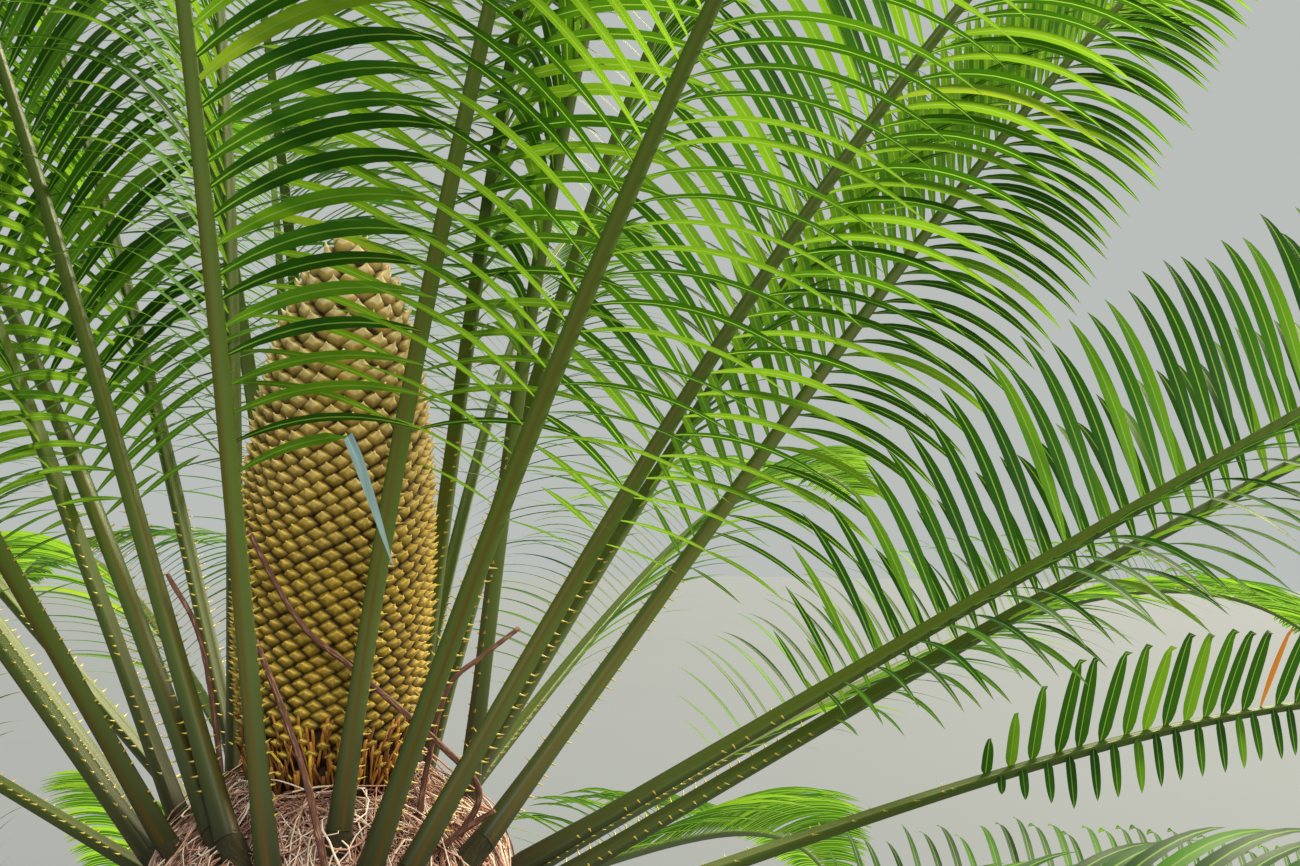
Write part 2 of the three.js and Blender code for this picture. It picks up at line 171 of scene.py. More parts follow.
def loft(sections, starts=None, tips=None, closed=True, finish=0):
    """Many like bodies, each drawn through its own row of sections, and drawn to a point where
    starts or tips are given. sections is (bodies, stations, corners, 3). finish numbers the material
    of each face, for all of them or by body, station and side. Each corner keeps its grain: how far
    round its section it lies, which body it is on, and how far along, in millimetres."""
    bodies, stations, corners, _ = sections.shape
    wide = corners if closed else corners - 1
    near = np.arange(wide)
    beside = (near + 1) % corners
    station = corners * np.arange(stations - 1)[:, None]
    quads = np.stack([station + near, station + beside,
                      station + beside + corners, station + near + corners], -1)
    around = distance_along(sections, 2)
    along = np.repeat(distance_along(sections.mean(2), 1)[..., None], corners, 2)
    grain = np.stack([around, np.zeros_like(around), along], -1).reshape(bodies, -1, 3)
    points = sections.reshape(bodies, -1, 3)
    finishes = np.broadcast_to(np.asarray(finish), (bodies, stations - 1, wide))
    fans = []
    for ends, row, turn in ((starts, 0, -1), (tips, stations - 1, 1)):
        if ends is None:
            continue
        end = np.full(wide, points.shape[1])
        fan = np.stack([row * corners + near, row * corners + beside, end], -1)[:, ::turn]
        fans.append((fan, finishes[:, min(row, stations - 2)]))
        points = np.concatenate([points, ends[:, None]], 1)
        last_grain = grain[:, row * corners:row * corners + corners].mean(1, keepdims=True)
        grain = np.concatenate([grain, last_grain], 1)
    grain[..., 1] = GRAIN_APART * np.arange(bodies)[:, None]
    offset = (points.shape[1] * np.arange(bodies))[:, None, None]
    faces = [((quads.reshape(1, -1, 4) + offset).reshape(-1, 4), finishes.reshape(-1))]
    faces += [((fan[None] + offset).reshape(-1, 3), which.reshape(-1)) for fan, which in fans]
    from_inside = points[0] - points[0].mean(0)
    a, b, c = (from_inside[quads.reshape(-1, 4)[:, corner]] for corner in (0, 1, 2))
    if closed and (np.cross(a, b) * c).sum() <= 0:
        faces = [(corner_numbers[:, ::-1], which) for corner_numbers, which in faces]
    return points.reshape(-1, 3), grain.reshape(-1, 3), faces


def mesh_object(name, lofts, materials):
    """One smooth object from many lofts."""
    loops, sizes, finishes, offset = [], [], [], 0
    for points, _, faces in lofts:
        for corner_numbers, which in faces:
            loops.append((corner_numbers + offset).ravel())
            sizes.append(np.full(len(corner_numbers), corner_numbers.shape[1]))
            finishes.append(which)
        offset += len(points)
    loops, sizes, finishes = (np.concatenate(rows) for rows in (loops, sizes, finishes))
    mesh = bpy.data.meshes.new(name)
    mesh.vertices.add(offset)
    mesh.vertices.foreach_set("co", np.concatenate([row[0] for row in lofts]).ravel() * METRE)
    mesh.loops.add(len(loops))
    mesh.loops.foreach_set("vertex_index", loops.astype(np.int32))
    mesh.polygons.add(len(sizes))
    mesh.polygons.foreach_set("loop_start", (np.cumsum(sizes) - sizes).astype(np.int32))
    mesh.polygons.foreach_set("material_index", finishes.astype(np.int32))
    mesh.polygons.foreach_set("use_smooth", np.full(len(sizes), True))
    grain = mesh.attributes.new("grain", "FLOAT_VECTOR", "POINT")
    grain.data.foreach_set("vector", np.concatenate([row[1] for row in lofts]).ravel())
    mesh.update(calc_edges=True)
    mesh.validate()
    for material in materials:
        mesh.materials.append(material)
    made = bpy.data.objects.new(name, mesh)
    bpy.context.scene.collection.objects.link(made)
    return made


def linear(colour):
    """A colour socket's value for an sRGB hex colour."""
    channels = [int(colour[place:place + 2], 16) / 255 for place in (1, 3, 5)]
    return [c / 12.92 if c <= 0.04045 else ((c + 0.055) / 1.055) ** 2.4 for c in channels] + [1]


def add_node(material, kind, values=None, links=None, **settings):
    """Adds a shader node with its settings, its inputs' values and what is linked to them: a socket, or
    a node, which stands for the first of its outputs that is in use."""
    made = material.node_tree.nodes.new("ShaderNode" + kind)
    for name, value in settings.items():
        setattr(made, name, value)
    for name, value in (values or {}).items():
        made.inputs[name].default_value = value
    for name, source in (links or {}).items():
        if isinstance(source, bpy.types.Node):
            source = next(socket for socket in source.outputs if socket.enabled)
        material.node_tree.links.new(source, made.inputs[name])
    return made


def new_material(name):
    """An empty node material."""
    material = bpy.data.materials.new(name)
    material.use_nodes = True
    material.node_tree.nodes.clear()
    return material


def streaks_along(material, size, detail):
    """Noise that is drawn out along a body, in streaks of this width and length."""
    grain = add_node(material, "Attribute", attribute_name="grain").outputs["Vector"]
    stretch = add_node(material, "VectorMath", {1: (1 / size[0], 1, 1 / size[1])}, {0: grain},
                       operation="MULTIPLY")
    return add_node(material, "TexNoise", {"Scale": 1.0, "Detail": detail}, {"Vector": stretch})


def corky_bark(name, dark, light, fibre_highlight):
    """Dead leaf-base cork: weathered grey-brown in soft blotches, rough all over, with fibres that
    run out along each stub, their raised tops drawn paler as a painted highlight."""
    material = new_material(name)
    fibres = streaks_along(material, BARK_FIBRE, 4.0)
    place = add_node(material, "TexCoord").outputs["Object"]
    blotches = add_node(material, "TexNoise", {"Scale": 1 / (BARK_BLOTCH * METRE), "Detail": 3.0},
                        {"Vector": place})
    weathered = add_node(material, "Mix", {"A": linear(dark), "B": linear(light)}, {"Factor": blotches},
                         data_type="RGBA")
    # Painted highlight: the raised fibres are drawn in the paler colour
    lit_fibres = add_node(material, "MapRange", {"From Min": 0.52, "From Max": 0.72}, {"Value": fibres})
    colour = add_node(material, "Mix", {"B": linear(fibre_highlight)}, {"Factor": lit_fibres, "A": weathered},
                      data_type="RGBA")
    bump = add_node(material, "Bump", {"Strength": 0.7, "Distance": 0.0015}, {"Height": fibres})
    surface = add_node(material, "BsdfPrincipled", {"Roughness": 0.92, "IOR": 1.45},
                       {"Base Color": colour, "Normal": bump})
    add_node(material, "OutputMaterial", links={"Surface": surface})
    return material


bark_draw = np.random.default_rng(11)
core_shares = np.linspace(0, 1, CORE_ROWS)
core_radii = trunk_radius(core_shares)[:, None] - CORE_SUNK
core_radii = core_radii + bark_draw.normal(0, CORE_UNEVEN, (CORE_ROWS, CORE_SIDES))
core = loft(turned_sections(trunk_middle(core_shares), core_radii, CORE_SIDES),
            trunk_middle([0.0]), trunk_middle([1.0]))

old_shares, old_angles = spiral(TRUNK_HEIGHT, trunk_radius, lambda share: OLD_BASE_AREA)
kept = old_shares < OLD_BASES_END
old_shares, old_angles = old_shares[kept], old_angles[kept]
old_side, old_up, old_out = round_the_stem(old_angles)
old_places = trunk_middle(old_shares) + old_out * trunk_radius(old_shares)[:, None]
length_left = bark_draw.uniform(0.55, 1.25, len(old_places))
half_width = OLD_BASE_WIDTH / 2 * bark_draw.uniform(0.88, 1.08, len(old_places))
half_height = OLD_BASE_HEIGHT / 2
# A stub's rings from its foot to its worn end, which leans up
old_rings = [
    (half_width, half_height, -14, -3, 1.25),
    (0.95 * half_width, 0.86 * half_height, 2 * length_left, 1, 1.25),
    (0.80 * half_width, 0.60 * half_height, 11 * length_left, 6 * length_left, 1.25),
    (0.66 * half_width, 0.40 * half_height, 16 * length_left, 10 * length_left, 1.25),
    (0.46 * half_width, 0.22 * half_height, 15 * length_left, 11 * length_left, 1.25),
]
old_sections = rings_on(old_places, old_side, old_up, old_out, old_rings, OLD_BASE_CORNERS)
old_sections += bark_draw.normal(0, OLD_BASE_UNEVEN, old_sections.shape)
old_ends = old_places + old_out * (12 * length_left)[:, None] + old_up * (10 * length_left)[:, None]
for old_points in (old_sections, old_ends):
    old_points[..., 2] = np.maximum(old_points[..., 2], 0)
old_finish = np.array([0, 0, 0, 1])[None, :, None]
old_bases = loft(old_sections, tips=old_ends, finish=old_finish)

trunk = mesh_object("trunk_bark", [core, old_bases], [
    corky_bark("weathered_leaf_base_cork", "#3f3026", "#6f5a49", "#8c7866"),
    corky_bark("split_leaf_base_end", "#6a523d", "#9a8067", "#b9a184"),
])
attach(trunk, "root")
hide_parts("trunk")

# Ribs
# The stalk and midrib of each frond in one tough fleshy piece, flat on top and keeled below, broad where
# it grows from the trunk and thin at its tip. Its waxy skin is brown at the foot and green further out.
FROND_LENGTH = 1750
LENGTH_SPREAD = 0.05
PETIOLE_SHARE = 0.17          # bare stalk before the first leaflets
PETIOLE_WIDTH = 17
TIP_WIDTH = 5
FOOT_SWELL = 4
SWELL_SHARE = 0.05
DEPTH_TO_WIDTH = 0.85
EDGE_HEIGHT = 3.6
ARCH_POWER = 2.3              # above 1, so that most of a frond's arch is in its outer half
LINE_STEPS = 100
SEAT_GAP = 0.3                # between a rib's foot and its leaf base
FOOT_SPACING = 36             # the least distance from a placed frond's foot to another's
LEAF_BASE_DEPTH = 76
LEAF_BASE_STEPS = 7
LEAF_BASE_BEND = 0.45         # the share of the way that its root is bent towards the trunk's axis
LEAF_BASE_OVERLAP = 3         # how far it reaches up over the rib's foot
LEAF_BASE_SWELL = 1.1         # how many rib widths broader it is at its root
RIB_STATIONS = 54
RIB_CROWDING = 1.3            # above 1, so that the stations stand closer towards the foot
RIB_END = 0.3                 # the last section is drawn in to this share of its size,
RIB_POINT = 4                 # and to a point this far beyond it
RIB_STREAK = (5, 260)         # width and length of the skin's streaks
BROWN_FACE = 0.43             # the share of the way round at which the brown streak runs
FRONDS_A_PIECE = 8

# How a frond stands: the angle of its foot round the heart, how far out from it and below it that is,
# how steeply the frond rises there and how far it arches over by its tip, how far it leans to one side
# and curls on that way, and how far its blade is turned about its rib
FROND_MEASURES = ("around", "out", "below", "rise", "arch", "lean", "curl", "turn")
SHOWN_FRONDS = [
    (-98, 150, 25, 93, 46, -7, 3, 28),
    (-77, 117, 4, 92, 46, 8, 13, 28),
    (-68, 151, 26, 77, 53, 16, 8, 34),
    (-55, 146, 32, 89, 53, 34, 8, 55),
    (-25, 151, 25, 69, 29, 45, -11, 78),
    (1, 166, 66, 30, 4, 0, 4, -30),
    (6, 172, 98, 29, 21, 1, 0, -24),
    (11, 167, 138, 11, 42, 14, 1, -4),
    (46, 141, 33, 51, 49, -3, 1, 0),
    (-115, 134, 8, 102, 33, -30, 3, -42),
    (-128, 124, 8, 96, 47, -39, -10, -45),
    (181, 160, 55, 52, 40, -7, 0, 0),
    (166, 166, 68, 44, 40, -8, -1, 0),
    (151, 117, 10, 84, 40, -6, 0, 0),
    (-42, 168, 122, 13, 36, 0, 0, 0),
]
# The rest of the crown stands in rings: how many slots a ring has, the angle of its first one, and
# the angles between which it is left open
RING_MEASURES = ("out", "below", "rise", "arch", "slots", "start", "open_from", "open_to")
RINGS = [
    (118, 6, 83, 50, 7, 12, -150, -25),
    (142, 26, 66, 50, 10, 66, -150, 34),
    (160, 62, 42, 42, 11, 48, -150, 34),
    (170, 112, 18, 40, 9, 35, -120, -60),
    (164, 160, -5, 34, 8, 22, 0, 0),
]


def frond_frame(frond, share):
    """Unit vectors at shares of a frond's length: along its rib, to its left and up from its blade."""
    share = np.atleast_1d(np.asarray(share, float))
    around = math.radians(frond["around"])
    rise = np.radians(frond["rise"] - frond["arch"] * share ** ARCH_POWER)[:, None]
    lean = np.radians(frond["lean"] + frond["curl"] * share)[:, None]
    outward = np.array([math.cos(around), math.sin(around), 0])
    sideways = np.array([-math.sin(around), math.cos(around), 0])
    climb = outward * np.cos(rise) + np.array([0, 0, 1]) * np.sin(rise)
    along = climb * np.cos(lean) + sideways * np.sin(lean)
    level = sideways * np.cos(lean) - climb * np.sin(lean)
    turn = math.radians(frond["turn"])
    left = level * math.cos(turn) - np.cross(along, level) * math.sin(turn)
    return along, left, np.cross(along, left)


def frond_foot(frond):
    """Where a frond stands on the trunk."""
    around = math.radians(frond["around"])
    reach = np.array([frond["out"] * math.cos(around), frond["out"] * math.sin(around), -frond["below"]])
    return HEART + reach


def ring_fronds():
    """The fronds of the rings, each a little unlike the next, in the slots that are free."""
    found = []
    for level, measures in enumerate(RINGS):
        ring = dict(zip(RING_MEASURES, measures))
        for slot in range(ring["slots"]):
            nudge = [math.sin(slot * 2.4 + level * 1.9 + kind * 1.3) for kind in range(5)]
            around = math.fmod(ring["start"] + 360 / ring["slots"] * slot + 180, 360) - 180
            frond = {
                "around": around, "out": ring["out"], "below": ring["below"],
                "rise": ring["rise"] + 4 * nudge[0], "arch": ring["arch"] + 8 * nudge[1],
                "lean": 6 * nudge[2], "curl": 5 * nudge[3], "turn": 10 * nudge[4],
            }
            gaps = [np.linalg.norm(frond_foot(shown) - frond_foot(frond)) for shown in shown_fronds]
            if not ring["open_from"] < around < ring["open_to"] and min(gaps) >= FOOT_SPACING:
                found.append(frond)
    return found


def rib_point(frond, share):
    """Places on the rib's middle line."""
    place = np.asarray(share) * LINE_STEPS
    return np.stack([np.interp(place, np.arange(LINE_STEPS + 1), frond["line"][:, axis])
                     for axis in range(3)], -1)


def rib_width(share):
    """The rib's width, with the swelling at its foot."""
    swell = FOOT_SWELL * np.maximum(0, 1 - np.asarray(share) / SWELL_SHARE)
    return PETIOLE_WIDTH + (TIP_WIDTH - PETIOLE_WIDTH) * np.asarray(share) + swell


shown_fronds = [dict(zip(FROND_MEASURES, measures)) for measures in SHOWN_FRONDS]
fronds = shown_fronds + ring_fronds()
for number, frond in enumerate(fronds):
    frond["node"] = f"frond_{number + 1:02d}"
    frond["length"] = FROND_LENGTH * (1 + LENGTH_SPREAD * math.sin(number * 2.1))
    start = frond_foot(frond) + SEAT_GAP * frond_frame(frond, 0)[0][0]
    steps = (np.arange(LINE_STEPS) + 0.5) / LINE_STEPS
    strides = frond_frame(frond, steps)[0] * frond["length"] / LINE_STEPS
    frond["line"] = np.concatenate([start[None], start + strides.cumsum(0)])

# The rib's section, in shares of its width and depth: a shallow channel on top, side faces, a keel
EDGE_SHARE = 0.5 - EDGE_HEIGHT / (PETIOLE_WIDTH * DEPTH_TO_WIDTH)
HALF_SECTION = [(0.18, 0.44), (0.42, 0.50), (0.50, 0.43), (0.50, EDGE_SHARE), (0.40, -0.02), (0.22, -0.36)]
RIB_SECTION = np.array([*HALF_SECTION, (0, -0.5), *[(-x, y) for x, y in reversed(HALF_SECTION)]])
ROUND_THE_RIB = np.linalg.norm(np.diff(RIB_SECTION * [1, DEPTH_TO_WIDTH], axis=0), axis=1).sum()


def rib_sections(middles, left, up, widths):
    """Sections of one rib."""
    across = RIB_SECTION[None, :, 0, None] * widths[:, None, None]
    deep = RIB_SECTION[None, :, 1, None] * widths[:, None, None] * DEPTH_TO_WIDTH
    return middles[:, None] + left[:, None] * across + up[:, None] * deep


def rib_loft(frond):
    """A rib from where it leaves the trunk to its tip."""
    share = np.linspace(0, 1, RIB_STATIONS) ** RIB_CROWDING
    _, left, up = frond_frame(frond, share)
    sections = rib_sections(rib_point(frond, share), left, up, rib_width(share))
    sections[-1] = sections[-1].mean(0) + RIB_END * (sections[-1] - sections[-1].mean(0))
    return loft(sections[None], tips=rib_point(frond, [1.0]) + frond_frame(frond, 1)[0] * RIB_POINT)


def living_base_loft(frond):
    """The broad base under a rib, carried back into the trunk and bent some way towards its axis."""
    foot = frond_foot(frond)
    along, left, up = (rows[0] for rows in frond_frame(frond, 0))
    core_side = (trunk_middle((foot[2] - LEAF_BASE_DEPTH) / TRUNK_HEIGHT) + foot) / 2
    core_side[2] = foot[2] - LEAF_BASE_DEPTH
    root = foot - along * LEAF_BASE_DEPTH
    root += (core_side - root) * LEAF_BASE_BEND
    steps = np.linspace(0, 1, LEAF_BASE_STEPS)
    middles = root + (foot + along * LEAF_BASE_OVERLAP - root) * steps[:, None]
    swell = 1.01 + LEAF_BASE_SWELL * (1 - smooth_step(steps, 0, 0.96))
    sections = rib_sections(middles, left[None], up[None], rib_width(0) * swell)
    return loft(sections[None], starts=root[None])


def waxy_rib_skin(name):
    """Smooth leaf-stalk skin under a thin bloom of wax: brown-olive at the foot, mid green along the
    blade and yellower at the tip, with a brown streak down one face of the keel and a soft sheen."""
    material = new_material(name)
    grain = add_node(material, "Attribute", attribute_name="grain").outputs["Vector"]
    parts = add_node(material, "SeparateXYZ", links={0: grain}).outputs
    streaks = streaks_along(material, RIB_STREAK, 3.0)
    out_along = add_node(material, "MapRange", {"From Max": FROND_LENGTH}, {"Value": parts["Z"]})
    ripening = add_node(material, "ValToRGB", links={"Fac": out_along})
    stops = ripening.color_ramp.elements
    stops[0].position, stops[0].color = 0.0, linear("#30341c")
    stops[1].position, stops[1].color = 1.0, linear("#708c28")
    for position, colour in ((0.03, "#424a26"), (0.09, "#4f5e28"), (0.17, "#50621c"), (0.5, "#485c16")):
        stops.new(position).color = linear(colour)
    girth = add_node(material, "MapRange", {
        "From Max": FROND_LENGTH,
        "To Min": PETIOLE_WIDTH * ROUND_THE_RIB,
        "To Max": TIP_WIDTH * ROUND_THE_RIB,
    }, {"Value": parts["Z"]})
    way_round = add_node(material, "Math", links={0: parts["X"], 1: girth}, operation="DIVIDE")
    off_streak = add_node(material, "Math", {1: BROWN_FACE}, {0: way_round}, operation="SUBTRACT")
    off_streak = add_node(material, "Math", links={0: off_streak}, operation="ABSOLUTE")
    on_streak = add_node(material, "MapRange",
                         {"From Min": 0.03, "From Max": 0.11, "To Min": 1.0, "To Max": 0.12},
                         {"Value": off_streak})
    fading = add_node(material, "MapRange",
                      {"From Min": 0.35, "From Max": 0.6, "To Min": 0.15, "To Max": 0.75},
                      {"Value": streaks})
    low_down = add_node(material, "MapRange",
                        {"From Min": 250.0, "From Max": 650.0, "To Min": 1.0, "To Max": 0.25},
                        {"Value": parts["Z"]})
    brown = add_node(material, "Math", links={0: on_streak, 1: fading}, operation="MULTIPLY")
    brown = add_node(material, "Math", links={0: brown, 1: low_down}, operation="MULTIPLY")
    colour = add_node(material, "Mix", {"B": linear("#5c4412")}, {"Factor": brown, "A": ripening},
                      data_type="RGBA")
    sheen = add_node(material, "MapRange", {"To Min": 0.4, "To Max": 0.62}, {"Value": streaks})
    bump = add_node(material, "Bump", {"Strength": 0.25, "Distance": 0.0008}, {"Height": streaks})
    surface = add_node(material, "BsdfPrincipled", {"IOR": 1.45, "Specular IOR Level": 0.24},
                       {"Base Color": colour, "Roughness": sheen, "Normal": bump})
    add_node(material, "OutputMaterial", links={"Surface": surface})
    return material


rib_skin = waxy_rib_skin("waxy_rib_skin")
living_base_skin = corky_bark("scurfy_leaf_base", "#2a2612", "#3c381b", "#524a2a")
pieces_of_fronds = [fronds[start:start + FRONDS_A_PIECE] for start in range(0, len(fronds), FRONDS_A_PIECE)]
for number, bunch in enumerate(pieces_of_fronds):
    lofts = [rib_loft(frond) for frond in bunch]
    ribs = mesh_object(f"frond_ribs_{number + 1}", lofts, [rib_skin])
    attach(ribs, "root")
    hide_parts(*[frond["node"] for frond in bunch])

living_bases = mesh_object("living_leaf_bases", [living_base_loft(frond) for frond in fronds],
                           [living_base_skin])
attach(living_bases, "root")
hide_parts("trunk")

# Thorns
# Short yellow spines in two rows up the edges of each bare stalk, horny and sharp. They are what is
# left of the leaflets that low down, and some of them have broken off.
THORN_SPACING = 12.0
THORN_LENGTH = 6.8
THORN_WIDTH = 2.1
THORN_SIDES = 5
THORNS_FROM = 0.022           # share of the frond's length at which they start
OUT_OF_STEP = 0.4             # how far one row is ahead of the other, as a share of the spacing
THORN_SCATTER = 0.12          # of the spacing
THORN_MOTTLE = 6
LONG_STALKS = {"frond_08": 0.27}   # these are bare further out, up to this share of their length
THORNS_GONE = 0.1             # the share that has broken off
BARER_STALKS = {"frond_06": 0.75, "frond_08": 0.7}   # and on these
thorn_draw = np.random.default_rng(23)


def hoops(across, over, corners):
    """Hoops of radius one, between two directions square to a line."""
    angles = even_angles(corners)[:, None]
    return across[..., None, :] * np.cos(angles) + over[..., None, :] * np.sin(angles)


def thorn_loft(frond):
    """The two rows of thorns on one stalk."""
    step = THORN_SPACING / frond["length"]
    bare = LONG_STALKS.get(frond["node"], PETIOLE_SHARE)
    share = np.arange(THORNS_FROM, bare - 0.3 * step, step)
    share = np.concatenate([share, share + OUT_OF_STEP * step])
    side = np.repeat([1.0, -1.0], len(share) // 2)
    share = share + thorn_draw.normal(0, THORN_SCATTER * step, len(share))
    stays = thorn_draw.random(len(share)) > BARER_STALKS.get(frond["node"], THORNS_GONE)
    share, side = share[stays], side[stays]
    along, left, up = frond_frame(frond, share)
    width = rib_width(share)
    roots = rib_point(frond, share) + left * (side * width * 0.48)[:, None]
    roots += up * (width * DEPTH_TO_WIDTH * 0.42)[:, None]
    point = unit(left * side[:, None] + along * thorn_draw.uniform(0.05, 0.45, (len(share), 1)) + up * 0.25)
    across = unit(np.cross(point, up))
    length = THORN_LENGTH * thorn_draw.uniform(0.7, 1.15, len(share))[:, None]
    ring = hoops(across, np.cross(across, point), THORN_SIDES) * THORN_WIDTH / 2
    sections = [(roots + point * length * out)[:, None] + ring * wide
                for out, wide in ((-0.12, 1.5), (0.08, 0.9), (0.5, 0.5))]
    return loft(np.stack(sections, 1), tips=roots + point * length + along * 0.6)


def mottled_matter(name, dark, light, blotch, detail, surface_values):
    """A matter in two tones, in soft blotches of this size."""
    material = new_material(name)
    place = add_node(material, "TexCoord").outputs["Object"]
    mottle = add_node(material, "TexNoise", {"Scale": 1 / (blotch * METRE), "Detail": detail},
                      {"Vector": place})
    colour = add_node(material, "Mix", {"A": linear(dark), "B": linear(light)}, {"Factor": mottle},
                      data_type="RGBA")
    surface = add_node(material, "BsdfPrincipled", surface_values, {"Base Color": colour})
    add_node(material, "OutputMaterial", links={"Surface": surface})
    return material


# Horn-like spine tissue: clear yellow, darker here and there, a little shiny
horny_thorn = mottled_matter("horny_thorn", "#b8952c", "#e6cf62", THORN_MOTTLE, 2.0,
                             {"Roughness": 0.4, "IOR": 1.5})
thorns = mesh_object("stalk_thorns", [thorn_loft(frond) for frond in fronds], [horny_thorn])
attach(thorns, "root")
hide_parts(*[frond["node"] for frond in fronds])

# Nest
# A springy mound of fine curly fibres, the torn wool of old leaf bases and bud scales, that fills the
# heart of the crown between the stalks and hides the trunk's top. It is dry, pink-brown and cream.

# Distances from the heart's middle, and how high the mound's surface is there
NEST_PROFILE = ([0, 60, 80, 102, 122, 146, 158, 166], [-14, -8, 3, -12, -28, -52, -90, -145])
MOUND_SIDES = 90
MOUND_ROWS = 30
MOUND_EDGE = 166
MOUND_SUNK = 5                # the packed fibre lies this deep under the curly one
MOUND_UNEVEN = 1.6
MOUND_MIDDLES = (-19, -150)   # how high over the heart its top and bottom are closed
HOLLOW_EDGE = 66              # the cone's foot stands inside this radius
FIBRES = 1500
FIBRE_STATIONS = 18
FIBRE_SIDES = 3
FIBRE_LENGTH = (80, 230)
LOOP_RADIUS = (18, 95)
FIBRE_RADIUS = (0.5, 1.05)    # drawn about half as thick again as the real ones, so that they show
FIBRE_MOTTLE = 20
nest_draw = np.random.default_rng(31)


def nest_height(radius):
    """The mound's surface over the heart, at a distance from its middle."""
    return np.interp(radius, *NEST_PROFILE)


def pushed_off_stalks(points, spare):
    """Points moved out of the stalks that they would lie in, in each frond's lowest stretch."""
    for frond in fronds:
        foot = frond_foot(frond)
        along = frond_frame(frond, 0)[0][0]
        from_foot = points - foot
        reach = from_foot @ along
        off = from_foot - reach[..., None] * along
        distance = np.linalg.norm(off, axis=-1)
        room = rib_width(0) * 0.55 * (1 + 0.5 * smooth_step(-reach, 0, LEAF_BASE_DEPTH)) + spare
        pushed = (distance < room) & (reach > -LEAF_BASE_DEPTH) & (reach < LEAF_BASE_DEPTH)
        push = np.where(pushed, room / np.maximum(distance, 0.5) - 1, 0)
        points = points + off * push[..., None]
    return points


def fibre_loft():
    """All the fibres. Each wanders over the mound, curling, with both ends tucked in."""
    start_angle = nest_draw.uniform(0, 2 * math.pi, FIBRES)
    start_radius = np.sqrt(nest_draw.uniform(HOLLOW_EDGE ** 2, (MOUND_EDGE - 3) ** 2, FIBRES))
    spot = np.stack([start_radius * np.cos(start_angle), start_radius * np.sin(start_angle)], -1)
    heading = nest_draw.uniform(0, 2 * math.pi, FIBRES)
    length = nest_draw.uniform(*FIBRE_LENGTH, FIBRES)
    bend = nest_draw.choice([-1, 1], FIBRES) / nest_draw.uniform(*LOOP_RADIUS, FIBRES)
    wave = nest_draw.uniform(0, 2 * math.pi, FIBRES)
    height = nest_draw.gamma(1.6, 5.0, FIBRES)
    stops_short = nest_draw.uniform(HOLLOW_EDGE, HOLLOW_EDGE + 18, FIBRES)
    stride = length / (FIBRE_STATIONS - 1)
    points = np.zeros((FIBRES, FIBRE_STATIONS, 3))
    for station in range(FIBRE_STATIONS):
        share = station / (FIBRE_STATIONS - 1)
        radius = np.linalg.norm(spot, axis=1)
        points[:, station, :2] = spot
        points[:, station, 2] = nest_height(radius) + height * math.sin(math.pi * share) - 1.5
        heading = heading + bend * stride + 0.25 * np.sin(wave + 5 * share)
        spot = spot + np.stack([np.cos(heading), np.sin(heading)], -1) * stride[:, None]
        radius = np.maximum(np.linalg.norm(spot, axis=1), 1)
        spot = spot * (np.clip(radius, stops_short, MOUND_EDGE - 1) / radius)[:, None]
    points = pushed_off_stalks(points + HEART, 1.5)
    along = unit(np.gradient(points, axis=1))
    across = unit(np.cross(along, [0.03, 0.05, 1]))
    thick = nest_draw.uniform(*FIBRE_RADIUS, FIBRES)[:, None, None, None]
    thin_ends = np.interp(np.linspace(0, 1, FIBRE_STATIONS), [0, 0.1, 0.8, 1], [0.6, 1, 0.9, 0.35])
    ring = hoops(across, np.cross(across, along), FIBRE_SIDES)
    colour = nest_draw.choice(3, FIBRES, p=[0.42, 0.36, 0.22])
    sections = points[:, :, None] + ring * thick * thin_ends[None, :, None, None]
    return loft(sections, points[:, 0], points[:, -1], finish=colour[:, None, None])


mound_radii = MOUND_EDGE * np.linspace(0.02, 1, MOUND_ROWS)[:, None]
mound_points = turned_sections(np.zeros((MOUND_ROWS, 3)), mound_radii, MOUND_SIDES)
mound_points[..., 2] = nest_height(mound_radii) - MOUND_SUNK
mound_points[..., 2] += nest_draw.normal(0, MOUND_UNEVEN, (MOUND_ROWS, MOUND_SIDES))
mound_ends = [(HEART + [0, 0, height])[None] for height in MOUND_MIDDLES]
# The mound's dark packed fibre is painted shade in the gaps between the loose fibres
mound = loft(mound_points + HEART, *mound_ends, finish=3)
# Dead leaf-base fibre: papery and dull, with paler and darker stretches along each hair
fibre_surface = {"Roughness": 0.75, "IOR": 1.45, "Sheen Weight": 0.2}
fibre_finishes = [mottled_matter(*tones, FIBRE_MOTTLE, 3.0, fibre_surface) for tones in (
    ("red_brown_fibre", "#96624c", "#d09c80"),
    ("cream_fibre", "#dcb89c", "#fdecd8"),
    ("dark_fibre", "#5a3626", "#8e604a"),
    ("packed_fibre_painted_shade", "#2c1a12", "#5a3a2a"),
)]
nest = mesh_object("crown_wool_fibres", [mound, fibre_loft()], fibre_finishes)
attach(nest, "root")
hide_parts("crown_wool")

# Pollen cone
# One erect woody cone of tightly packed scales on a spiral, each a blunt wedge with a small upturned
# pale point. The scales are mustard, larger and paler towards the top, and the lowest stand apart.
CONE_HEIGHT = 480
CONE_RADIUS = 82
CONE_FOOT_RADIUS = 64
CONE_WIDEST = 0.4             # share of its height from which the cone narrows towards its tip
CONE_STAND = -7               # where its foot stands beside the heart's middle,
CONE_LEAN = 22                # and how much further over its tip is
CONE_SEAT = -7.7
SCALE_AREA = 128
TOP_SCALE_AREA = 215
SCALE_HALF_WIDTH = 8.2
SCALE_HALF_HEIGHT = 6.2
SCALE_CORNERS = 8
SCALE_SUNK = 4                # the scales' edges lie this deep, so that their points end at the outline
SCALE_JITTER = 0.5            # how far a scale stands off its place on the spiral
SCALE_SPREAD = 0.05           # in its width and height, as a share of them
SCALE_UNEVEN = 0.22
CONE_CORE_SUNK = 3            # the core lies this deep under the scales' edges
